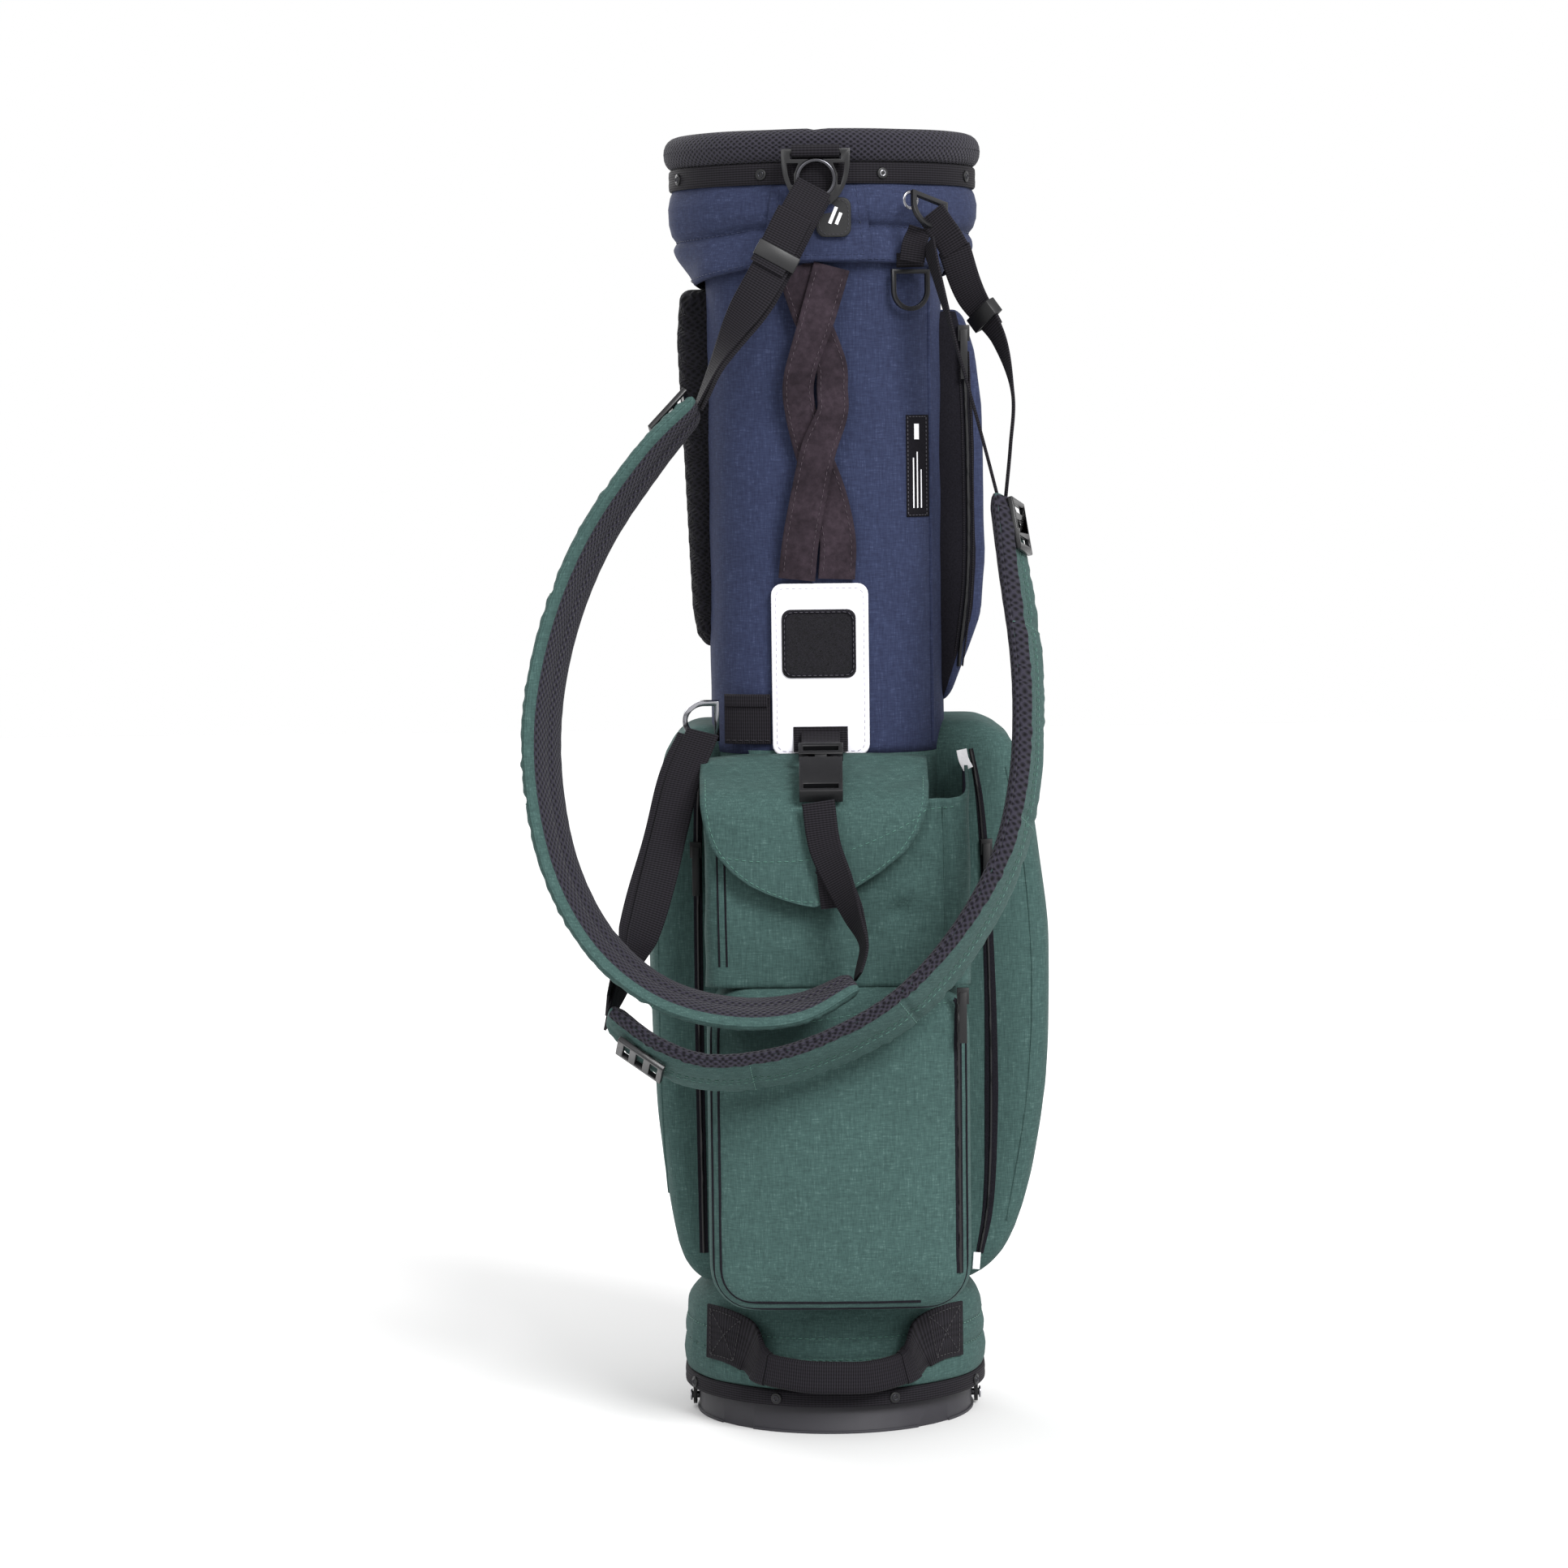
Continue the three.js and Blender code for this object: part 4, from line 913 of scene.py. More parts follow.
def tape(name, dark, light):
    """Woven polyester zip tape, flat and close, with a fine random grain."""
    made, shader = finish_material(name, {"Roughness": 0.9, "Specular IOR Level": 0.06})
    place = add_node(made, "TexCoord").outputs["Object"]
    grain = add_node(made, "TexNoise", {"Vector": place, "Scale": 900, "Detail": 2}).outputs[0]
    colour = add_node(made, "Mix", {0: grain, 6: tint(dark), 7: tint(light)}, data_type="RGBA").outputs[2]
    made.node_tree.links.new(colour, shader.inputs["Base Color"])
    relief = add_node(made, "Bump", {"Height": grain, "Strength": 0.4, "Distance": 0.0004}).outputs[0]
    made.node_tree.links.new(relief, shader.inputs["Normal"])
    return made


zip_tape = tape("woven_zip_tape_black", "#0b0a0d", "#1f1e24")
TOWARD_BACK = Vector((0, 1, 0))


def line(*corners, steps=40):
    """Even points along straight legs between corners."""
    legs = [(Vector(a), Vector(b)) for a, b in zip(corners, corners[1:])]
    return [a.lerp(b, k / steps) for a, b in legs for k in range(steps)] + [legs[-1][1]]


def bend(*corners, steps=60):
    """Even points along a smooth curve through its corners."""
    route = curve_through([Vector(c) for c in corners])
    return [route(k / steps) for k in range(steps + 1)]


def curve_through(points):
    """A centripetal curve through points, from 0 to 1, each leg taking an equal share."""
    points = [Vector(p) for p in points]
    last = len(points) - 1

    def at(t):
        leg = min(int(last * t), last - 1)
        w = last * t - leg
        b, c = points[leg], points[leg + 1]
        a = points[leg - 1] if leg > 0 else b + (b - c)
        d = points[leg + 2] if leg + 2 <= last else c + (c - b)
        step0, step1, step2 = (
            max((q - p).length_squared ** 0.25, 1e-4)
            for p, q in ((a, b), (b, c), (c, d))
        )
        m1 = ((b - a) / step0 - (c - a) / (step0 + step1) + (c - b) / step1) * step1
        m2 = ((c - b) / step1 - (d - b) / (step1 + step2) + (d - c) / step2) * step1
        return b + m1 * w + (b * -3 + c * 3 - m1 * 2 - m2) * w ** 2 + (b * 2 - c * 2 + m1 + m2) * w ** 3

    return at


zip_right = smoothed(
    laid_on(
        right_pocket,
        bend((101, 0, 118), (107, 0, 150), (110, 0, 230), (109, 0, 330), (104, 0, 430), (98, 0, 468)),
        TOWARD_BACK,
    ),
    3,
)
strip_on(
    "side_zip_tape_right", zip_right, lambda t: tape_section(9.5 - 5.5 * abs(2 * t - 0.8), 0.7), zip_tape,
    "black_webbing",
)
strip_on(
    "side_zip_coil_right", zip_right, [(x - 0.4, z + 0.9) for x, z in cord_section(1.0, 6)], black_nylon,
    "black_plastic",
)
zip_left = smoothed(
    laid_on(
        left_pocket, bend((-90, 0, 120), (-91, 0, 230), (-91, 0, 330), (-90, 0, 430), (-88, 0, 462)),
        TOWARD_BACK,
    ),
    3,
)
strip_on("side_zip_tape_left", zip_left, tape_section(6, 0.7), zip_tape, "black_webbing")
strip_on(
    "side_zip_coil_left", zip_left, [(x, z + 0.9) for x, z in cord_section(1.0, 6)], black_nylon,
    "black_plastic",
)
LEFT_WELT = [(-113, 0, 130), (-117, 0, 200), (-119, 0, 300), (-117, 0, 400), (-108, 0, 460)]
RIGHT_WELT = [(120, 0, 140), (134, 0, 220), (139, 0, 300), (134, 0, 390), (122, 0, 455)]
for piece, side, places in ((left_pocket, "left", LEFT_WELT), (right_pocket, "right", RIGHT_WELT)):
    seam = smoothed(laid_on(piece, bend(*places), TOWARD_BACK), 2)
    strip_on("side_pocket_welt_" + side, seam, cord_section(0.9), green_cloth, "green_cloth")

# ---------------------------------------------------------------------------
# Valuables pocket high on the right: navy cloth outside, a black gusset with
# a long zip on the side that faces the golfer.
UPPER_POCKET, UPPER_DEPTH = (-42, 58, 500, 769), 50
UPPER_REACH = [(500, 84), (530, 96), (560, 107), (600, 110), (700, 109), (740, 104), (769, 96)]


def upper_place(y, z, out, share):
    """Places the upper pocket's cloth, with slow waves over its outer face."""
    reach = table_value(UPPER_REACH, z)
    wave = 1.2 * ripple((y, z, 2), 34, 8) * smooth(0.5, 1, out / UPPER_DEPTH)
    return Vector((60 + out / UPPER_DEPTH * (reach - 60) + wave - 0.6, y, z))


upper_pocket = make_skin(
    "upper_pocket_cloth", pocket_rows(UPPER_POCKET, 16, UPPER_DEPTH, 9, 0, upper_place, 14), around=True,
    capped=True,
)
settle(upper_pocket, "bag", navy_cloth, "navy_cloth", "upper_pocket")
upper_pocket.data.materials.append(zip_tape)
for face in upper_pocket.data.polygons:
    if face.normal.y < -0.4 and face.center.x / MM < table_value(UPPER_REACH, face.center.z / MM) - 6.5:
        face.material_index = 1
upper_zip = smoothed(
    laid_on(upper_pocket, bend((90, 0, 524), (97, 0, 580), (98, 0, 660), (96, 0, 740)), TOWARD_BACK), 3,
)
strip_on(
    "upper_zip_coil", upper_zip, [(x, z + 0.6) for x, z in cord_section(1.4, 6)], black_nylon,
    "black_plastic",
)
for k, shift in enumerate((-3.2, 3.2)):
    edge = smoothed([(p + Vector((shift, -0.3, 0)), n) for p, n in upper_zip])
    strip_on(f"upper_zip_edge_{k + 1}", edge, cord_section(0.6, 6), black_webbing, "black_webbing")

# ---------------------------------------------------------------------------
# Ball pocket: a big foam-backed pocket low on the front, its panel set into
# piping all round, with a zip down the right edge.


BALL_POCKET, BALL_CORNER = (-84, 93, 95, 317), 30


def ball_place(x, z, out, share):
    """Places the ball pocket's cloth: waves, a slump low down and rounded sides."""
    soft = smooth(60, 100, out)
    wave = (2.2 * ripple((x, z, 1), 62, 4) + 0.9 * ripple((x, z, 5), 24, 1)) * soft
    slump = 5 * smooth(0.1, 0.9, share) * smooth(300, 140, z)
    sides = 2.0 * math.cos((x - 4) / 89 * math.pi / 2) * soft
    return Vector((x, -(62 + out * 0.985 + wave + slump * 0.6 + sides - 3.2), z))


ball_pocket = make_skin(
    "ball_pocket_cloth", pocket_rows(BALL_POCKET, BALL_CORNER, 103, 20, 0, ball_place, 20), around=True,
    capped=True,
)


def ball_sewn(p):
    """The piping and the walls behind it are sewn. The front panel is free to swell."""
    left, right, bottom, top = BALL_POCKET
    inside = min(p.x - left, right - p.x, p.z - bottom, top - p.z)
    return max(smooth(-136, -124, p.y), smooth(7, 3.5, inside))


puff(ball_pocket, ball_sewn, 3, 5)
settle(ball_pocket, "bag", green_cloth, "green_cloth", "ball_pocket")
for name, inset in (("ball_pocket_piping", 3.2), ("ball_pocket_inner_piping", 8.0)):
    outline = round_cornered(*BALL_POCKET, BALL_CORNER, inset)
    picked = [p for p in outline if p.y < 306 and not (name.endswith("inner_piping") and p.x > 60)]
    start = max(range(len(picked)), key=lambda i: (picked[i] - picked[i - 1]).length)
    picked = picked[start:] + picked[:start]
    places = smoothed(laid_on(ball_pocket, [Vector((p.x, 0, p.y)) for p in picked], TOWARD_BACK), 2)
    strip_on(name, places, cord_section(0.95), zip_tape, "black_webbing")
ball_zip = smoothed(laid_on(ball_pocket, line((84.5, 0, 122), (84.5, 0, 312), steps=60), TOWARD_BACK), 2)
strip_on("ball_zip_tape", ball_zip, tape_section(5.5, 0.6), zip_tape, "black_webbing")
strip_on(
    "ball_zip_coil", ball_zip, [(x, z + 0.7) for x, z in cord_section(1.1, 6)], black_nylon,
    "black_plastic",
)
top_seam = smoothed(
    laid_on(
        ball_pocket, bend((-74, 0, 292), (-40, 0, 291), (0, 0, 296), (40, 0, 302), (78, 0, 305)),
        TOWARD_BACK,
    )
)
stitches_on("ball_pocket_top_stitches", top_seam, teal_thread, "green_cloth")

# ---------------------------------------------------------------------------
# Pouch: an open cloth pocket over the ball pocket, lined in dark grey. Its
# corners are double-stitched and its front hangs in soft folds.
MOUTH_BACK, MOUTH_FRONT, MOUTH_FRONT_Y, POUCH_BASE = 461, 441, -152, 315.5


def pouch_fold(x, z):
    """How far the front stands out at a place: soft folds fanning from the right-hand corner."""
    deep = -3.6 * math.exp(-((x - 74 + (z - 440) * 0.06) / 3.4) ** 2) * smooth(330, 400, z)
    second = -3.0 * math.exp(-((x - 84 + (z - 440) * 0.1) / 3.0) ** 2) * smooth(350, 430, z)
    dimple = -4.5 * math.exp(-((x - 46) / 9) ** 2 - ((z - 366 - (x - 46) * 0.3) / 6) ** 2)
    ridge = 2.6 * math.exp(-((x - 52) / 13) ** 2 - ((z - 380 - (x - 46) * 0.4) / 8) ** 2)
    soft = 1.6 * ripple((x, z, 0), 34, 6) + 0.7 * ripple((x, z, 4), 14, 3)
    return deep + second + dimple + ridge + soft


def pouch_row(t, inset=0.0):
    """A row of the pouch's cloth at a share of its height, drawn in by an inset for its floor."""
    plan = []
    x0, x1, back, front, r = -84 + inset, 94 - inset, -60, -150.5 + inset, 15
    plan += [Vector((x0, back + (front + r - back) * k / 14, 0)) for k in range(14)]
    plan += [
        Vector((x0 + r - r * math.cos(a), front + r - r * math.sin(a), 0))
        for a in (math.pi / 2 * k / 8 for k in range(8))
    ]
    plan += [Vector((x0 + r + (x1 - x0 - 2 * r) * k / 60, front, 0)) for k in range(60)]
    plan += [
        Vector((x1 - r + r * math.sin(a), front + r - r * math.cos(a), 0))
        for a in (math.pi / 2 * k / 8 for k in range(9))
    ]
    plan += [Vector((x1, front + r + (back - front - r) * k / 14, 0)) for k in range(1, 15)]
    row = []
    for p in plan:
        mouth = MOUTH_BACK + (MOUTH_FRONT - MOUTH_BACK) * min(1, max(0, (p.y + 92) / (MOUTH_FRONT_Y + 92)))
        z = POUCH_BASE + (mouth - POUCH_BASE) * t
        facing = smooth(-130, -148, p.y)
        out = pouch_fold(p.x, z) * facing * smooth(0.02, 0.2, t) * (1 - inset / 40)
        side = 1.4 * ripple((p.x, p.y, z), 26, 7) * (1 - facing)
        row.append(Vector((p.x + side, p.y - out, z)))
    return row


pouch_rows = [pouch_row(0, inset) for inset in (44, 30, 16, 6)] + [
    pouch_row(t)
    for t in (k / 40 for k in range(41))
]
pouch = make_skin("pouch_cloth", pouch_rows)
lining = tape("pocket_lining_grey", "#26252f", "#3d3b49")
pouch.data.materials.append(green_cloth)
pouch.data.materials.append(lining)
apply_modifier(pouch, "SOLIDIFY", thickness=2.4 * MM, offset=-1, material_offset=1)
settle(pouch, "bag", None, "green_cloth", "pouch")
for name, x in (
    ("pouch_corner_seam_1", -69.5), ("pouch_corner_seam_2", -74.5), ("pouch_corner_seam_3", 77.5),
):
    seam = smoothed(laid_on(pouch, line((x, 0, 330), (x - 1.2, 0, 436), steps=50), TOWARD_BACK))
    strip_on(name, seam, cord_section(0.7, 6), zip_tape if x < 0 else green_cloth, "green_cloth")
mouth_seam = smoothed(
    laid_on(pouch, bend((10, 0, 432), (45, 0, 433.5), (72, 0, 435), (84, 0, 436)), TOWARD_BACK)
)
stitches_on("pouch_mouth_stitches", mouth_seam, teal_thread, "green_cloth")

# The flap: one layer of the same cloth, cut as a D, over the pouch's mouth.
FLAP_ROUTE = [
    (0, -97, 467), (0, -118, 459.5), (0, -140, 451), (0, -152, 445), (0, -159, 436), (0, -161.5, 424),
    (0, -162.5, 405), (0, -163.5, 371),
]
flap_line = curve_through(FLAP_ROUTE)


def arc_points(route, steps):
    """Points at even distances along a curve."""
    fine = [route(k / 800) for k in range(801)]
    lengths = [0.0]
    for a, b in zip(fine, fine[1:]):
        lengths.append(lengths[-1] + (b - a).length)
    points, k = [], 0
    for s in steps:
        goal = s * lengths[-1]
        while k < 799 and lengths[k + 1] < goal:
            k += 1
        points.append(
            fine[k].lerp(fine[k + 1], (goal - lengths[k]) / max(1e-6, lengths[k + 1] - lengths[k]))
        )
    return points, lengths[-1]


flap_steps = [math.sin(math.pi / 2 * k / 40) for k in range(41)]
flap_middle, flap_length = arc_points(flap_line, flap_steps)


FLAP_LEFT = [
    (0, -86), (0.2, -86.5), (0.5, -85.5), (0.63, -82.5), (0.73, -77), (0.83, -65), (0.89, -54), (0.93, -43),
    (0.965, -30), (0.985, -21), (1, -11),
]
FLAP_RIGHT = [
    (0, 66), (0.3, 67), (0.5, 66), (0.62, 61), (0.73, 51), (0.83, 34), (0.89, 21), (0.93, 12), (0.965, 2),
    (0.985, -4), (1, -10.5),
]


def flap_edges(s):
    """The flap's left and right edges at a share of its length."""
    return table_value(FLAP_LEFT, s), table_value(FLAP_RIGHT, s)


flap_rows = []
for s, middle in zip(flap_steps, flap_middle):
    left, right = flap_edges(s)
    row = []
    for k in range(49):
        x = left + (right - left) * k / 48
        hang = smooth(0.3, 0.7, s)
        curl = 7 * max(0, abs(x + 8) / 80) ** 3 * hang
        drop = 3.5 * max(0, abs(x + 8) / 80) ** 4 * (1 - hang)
        crease = -2.2 * math.exp(-((middle.z - 447 - (x - 30) * 0.35) / 5) ** 2) * smooth(10, 45, x)
        soft = 1.3 * ripple((x, middle.z, middle.y), 30, 11) * smooth(0, 0.15, s)
        y = middle.y + curl - soft - crease * hang * 0.4
        z = middle.z - drop + crease * (1 - hang) + soft * (1 - hang)
        row.append(Vector((x, y, z)))
    flap_rows.append(row)
flap = make_skin("pouch_flap_cloth", flap_rows)
for s0, s1 in zip(flap_steps, flap_steps[1:]):
    l0, r0 = flap_edges(s0)
    l1, r1 = flap_edges(s1)
apply_modifier(flap, "SOLIDIFY", thickness=2.2 * MM, offset=1)
settle(flap, "bag", green_cloth, "green_cloth", "pouch_flap")


def flap_at(s, x):
    """A point in front of the flap at a share of its length, to be laid on it."""
    k = max(1, min(40, next((i for i, v in enumerate(flap_steps) if v >= s), 40)))
    w = (s - flap_steps[k - 1]) / max(1e-6, flap_steps[k] - flap_steps[k - 1])
    z = flap_middle[k - 1].z + (flap_middle[k].z - flap_middle[k - 1].z) * w
    return Vector((x, 0, z))


FLAP_HEM = 3.4
down = [0.25 + 0.735 * k / 39 for k in range(1, 40)]
rim_path = [flap_at(s, flap_edges(s)[0] + FLAP_HEM) for s in down]
rim_path += [flap_at(0.972, x) for x in (-22, -14, -6)]
rim_path += [flap_at(s, flap_edges(s)[1] - FLAP_HEM) for s in reversed(down)]
stitches_on(
    "flap_edge_stitches", smoothed(laid_on(flap, rim_path, TOWARD_BACK), 3), teal_thread, "green_cloth",
    pitch=4.2,
)
for name, corners in (
    ("flap_cross_stitches_left", ((-76, 0, 405), (-50, 0, 402), (-25, 0, 402), (-12, 0, 403))),
    ("flap_cross_stitches_right", ((14, 0, 409), (34, 0, 417), (56, 0, 428), (66, 0, 436))),
):
    stitches_on(name, smoothed(laid_on(flap, bend(*corners), TOWARD_BACK), 3), teal_thread, "green_cloth")

# ---------------------------------------------------------------------------
# Shoulder strap pads: two long foam pads, green cloth on the outer face and
# black spacer mesh on the inner one, joined along both edges and gathered there.


def frames_along(centres, acrosses):
    """The place, the way across, the way along and the way out at a share of a route."""
    route, sides = curve_through(centres), curve_through(acrosses)

    def at(t):
        ahead = (route(min(1, t + 1e-4)) - route(max(0, t - 1e-4))).normalized()
        across = sides(t)
        across = (across - ahead * across.dot(ahead)).normalized()
        return route(t), across, ahead, across.cross(ahead)

    return at


def sweep(name, frames, section, steps, smooth_angle=55, start=0.0, end=1.0):
    """A closed section carried along a route. section(t) gives (across, out) pairs."""
    rows = []
    for k in range(steps + 1):
        t = start + (end - start) * k / steps
        place, across, _, out = frames(t)
        rows.append([place + across * x + out * z for x, z in section(t)])
    return make_skin(name, rows, around=True, capped=True, smooth_angle=smooth_angle)


PAD_LEFT = [
    (-86, -128, 704), (-118, -140, 668), (-153, -152, 617), (-176, -165, 563), (-188, -178, 505),
    (-187, -190, 450),
    (-174, -200, 395), (-148, -206, 350), (-111, -209, 320), (-66, -210, 307), (-21, -209, 309),
    (16, -205, 325),
]
PAD_LEFT_TIP = [18, 18, 18, 18, 18, 17, 15, 12, 9, 8, 8, 8]
PAD_RIGHT = [
    (118, -128, 641), (125, -140, 595), (132, -155, 541), (133, -168, 499), (130, -180, 457),
    (120, -192, 412),
    (101, -202, 372), (72, -208, 332), (44, -211, 306), (6, -212, 285), (-36, -212, 271), (-84, -211, 268),
    (-118, -207, 281), (-146, -200, 305),
]
PAD_RIGHT_TIP = [-14, -15, -16, -16, -17, -19, -22, -25, -27, -27, -27, -26, -24, -20]


def walk(frames, steps, start, span):
    """Even steps along a route: each one's share, its place, the way across and the way out."""
    for k in range(steps + 1):
        t = start + span * k / steps
        place, across, _, out = frames(t)
        yield t, place, across, out


def pad_frames(points, degrees):
    """The frames along a pad, its flat side turned by these degrees from the viewer's side."""
    route = curve_through(points)
    acrosses = []
    for i, p in enumerate(points):
        t = i / (len(points) - 1)
        ahead = (route(min(1, t + 1e-4)) - route(max(0, t - 1e-4))).normalized()
        away = Vector(p) - Vector((-25, 0, 500))
        away.y = 0
        away = (away - ahead * away.dot(ahead)).normalized()
        tip = math.radians(degrees[i])
        acrosses.append(Vector((0, -math.cos(tip), 0)) + away * math.sin(tip))
    return frames_along(points, acrosses)


def pad_width(t):
    """The pad's width at a share of its length, tapered at both ends, its sewn edges puckered."""
    end = min(1, min(t, 1 - t) / 0.12)
    pucker = 1.5 * math.sin(t * 330) * ripple((t * 700, 0, 0), 60, 9)
    return 36 + 24 * math.sin(end * math.pi / 2) + pucker * end


PAD_WRAP = {"left": 6.0, "right": 0.6}
PAD_SEAMS = {"left": (0.25, 0.46, 0.72), "right": (0.13, 0.35, 0.6, 0.79)}


def pad_height(side, t, x, half, outer):
    """How thick the pad is at a place on one face, with its seams, lobes and puckers."""
    edge = min(1.0, abs(x) / half)
    body = (1 - edge ** 3.6) ** 0.5
    blunt = math.sqrt(max(0.0, min(1, min(t, 1 - t) / 0.014)))
    height = 6.6 * body * (0.45 + 0.55 * blunt)
    near = max(math.exp(-((t - s) / 0.0045) ** 2) for s in PAD_SEAMS[side])
    if outer:
        height *= 1 - 0.24 * near
        gather = math.sin(t * 330 + 3 * ripple((t * 900, 0, 0), 40, 3)) * ripple((t * 700, x, 0), 22, 5)
        height += 2.8 * gather * edge ** 2 * (1 - edge ** 10)
        height -= 1.1 * math.exp(-((x + 1) / 2.2) ** 2) if side == "right" else 0
        height += 0.8 * ripple((t * 800, x, 2), 30, 1) * body
    else:
        height *= 1 - 0.42 * math.exp(-((x - 2) / 3.0) ** 2)
        height += 0.5 * math.sin(t * 260) * edge ** 3 * ripple((t * 700, 1, 0), 30, 2)
    return max(0.25, height)


quilted_mesh = spacer_mesh("spacer_mesh_pad_lining", "#09080c", "#2b2933", 0.0036)
for side, points, tips, outward_sign in (
    ("left", PAD_LEFT, PAD_LEFT_TIP, -1), ("right", PAD_RIGHT, PAD_RIGHT_TIP, 1),
):
    frames = pad_frames(points, tips)
    for part, sign, material, slot in (
        ("cloth", outward_sign, green_cloth, "green_cloth"),
        ("lining", -outward_sign, quilted_mesh, "black_mesh"),
    ):
        wraps = PAD_WRAP[side]

        def section(t, side=side, sign=sign, part=part, wraps=wraps):
            half = pad_width(t) / 2
            shares = [math.sin(math.pi / 2 * (-1 + 2 * k / 22)) for k in range(23)]
            face = [(half * s, sign * pad_height(side, t, half * s, half, part == "cloth")) for s in shares]
            if part == "cloth":
                inner = [
                    (half * s, -sign * min(wraps, 0.86 * pad_height(side, t, half * s, half, False)))
                    for s in reversed(shares[1:-1])
                ]
            else:
                inset = 0.93 if wraps > 2 else 1.012
                face = [(x * inset, z) for x, z in face]
                inner = [
                    (half * s * 0.9, -1.5 * sign * (wraps < 2) * (1 - abs(s) ** 6))
                    for s in reversed(shares[1:-1])
                ]
            return face + inner

        piece = sweep(f"strap_pad_{side}_{part}", frames, section, 340, smooth_angle=None)
        settle(piece, "bag", material, slot, *(["strap_pad_" + side] if part == "cloth" else []))
    for edge in (-1, 1):
        places = []
        for t, place, across, _ in walk(frames, 360, 0.004, 0.992):
            places.append((place + across * (edge * pad_width(t) / 2), across * edge))
        shows_mesh = (side == "right") == (edge > 0)
        strip_on(
            f"strap_pad_{side}_edge_{'front' if edge > 0 else 'rear'}", places,
            cord_section(1.4 if shows_mesh and side == "right" else 0.8, 8),
            quilted_mesh if shows_mesh else green_cloth, "black_mesh" if shows_mesh else "green_cloth",
        )
    for number, s in enumerate(PAD_SEAMS[side], 1):
        half = pad_width(s) / 2
        places = []
        for k in range(31):
            x = half * math.sin(math.pi / 2 * (-0.97 + 1.94 * k / 30))
            place, across, _, out = frames(s + 0.0052)
            rise = pad_height(side, s + 0.0052, x, half, True)
            places.append((place + across * x + out * outward_sign * rise, out * outward_sign))
        stitches_on(
            f"strap_pad_{side}_stitches_{number}", places, teal_thread, "green_cloth", pitch=3.6,
            length=2.4,
        )
    if side == "right":
        # The lining is turned over the front edge, as a band that narrows down the pad.
        places = []
        for t, place, across, out in walk(frames, 360, 0.004, 0.992):
            x = pad_width(t) / 2 - 4.4 + 2.4 * smooth(0.32, 0.6, t)
            face = outward_sign * pad_height(side, t, x, pad_width(t) / 2, True)
            places.append((place + across * x + out * face, out * outward_sign + across * 0.75))
        strip_on(
            "strap_pad_right_turned_edge", places,
            lambda t: tape_section(10.5 - 5.5 * smooth(0.32, 0.6, t), 0.9), quilted_mesh, "black_mesh",
        )
        for number, x in enumerate((-3.6, 3.2), 1):
            places = []
            for t, place, across, out in walk(frames, 399, 0.03, 0.94):
                rise = pad_height(side, t, x, pad_width(t) / 2, True)
                places.append((place + across * x + out * outward_sign * rise, out * outward_sign))
            stitches_on(
                f"strap_pad_right_long_stitches_{number}", places,
                teal_thread if number == 1 else green_thread, "green_cloth", pitch=5,
            )

# ---------------------------------------------------------------------------
# Webbing: flat black polypropylene straps that carry the pads, the rings and the
# buckle. Each is folded and sewn through, and is held at both its ends.


def ribbon_section(width, thickness):
    """A webbing's section: flat faces between two selvedges that are a little thicker."""
    h, e = width / 2, thickness / 2
    face = [
        (-h, 0.5 * e), (-h + 0.6 * e, 1.1 * e), (-h + 2.2 * e, e), (-h / 3, e), (h / 3, e),
        (h - 2.2 * e, e), (h - 0.6 * e, 1.1 * e), (h, 0.5 * e),
    ]
    return face + [(x, -z) for x, z in reversed(face)]


def strap(name, centres, acrosses, width, thickness, *nodes, material=None, steps=70,
          start=0.0, end=1.0, lift=0.0, shift=0.0, wave=0.0):
    """Webbing along a route. width is one size or a table. lift, shift and wave set a layer off it."""
    frames = frames_along(centres, acrosses)

    def section(t):
        w = table_value(width, t) if isinstance(width, list) else width
        bow = lift + wave * math.sin(t * 9 + len(name)) * smooth(0, 0.15, t) * smooth(1, 0.85, t)
        return [(x + shift, z + bow) for x, z in ribbon_section(w, thickness)]

    piece = sweep(name, frames, section, steps, start=start, end=end)
    settle(piece, "bag", material or black_webbing, "black_webbing", *nodes)


X_WAY, Z_WAY = (1, 0, 0), (0, 0, 1)
LEFT_TOP = [
    (-5, -121.5, 850), (-17, -131, 829), (-30, -135, 804), (-44, -137, 780), (-59, -135, 757),
    (-72, -132, 733), (-86, -129, 703),
]
LEFT_TOP_ACROSS = [
    (0.9, 0, -0.35), (0.85, 0, -0.5), (0.85, 0, -0.5), (0.8, -0.2, -0.5), (0.6, -0.6, -0.4),
    (0.3, -0.9, -0.3), (0.1, -1, -0.1),
]
strap(
    "strap_left_top", LEFT_TOP, LEFT_TOP_ACROSS, [(0, 25), (0.6, 24.5), (1, 15)], 1.7, "webbing_left_top",
    steps=90,
)
strap(
    "strap_left_fold", LEFT_TOP, LEFT_TOP_ACROSS, 24.5, 1.7, start=0.16, end=0.4, lift=-2.3, shift=-2.0,
    steps=24,
)
strap(
    "strap_left_under", LEFT_TOP, LEFT_TOP_ACROSS, [(0, 24), (0.5, 24), (1, 22)], 1.6, start=0.02, end=0.99,
    lift=2.6, shift=2.4, wave=1.6, steps=80,
)

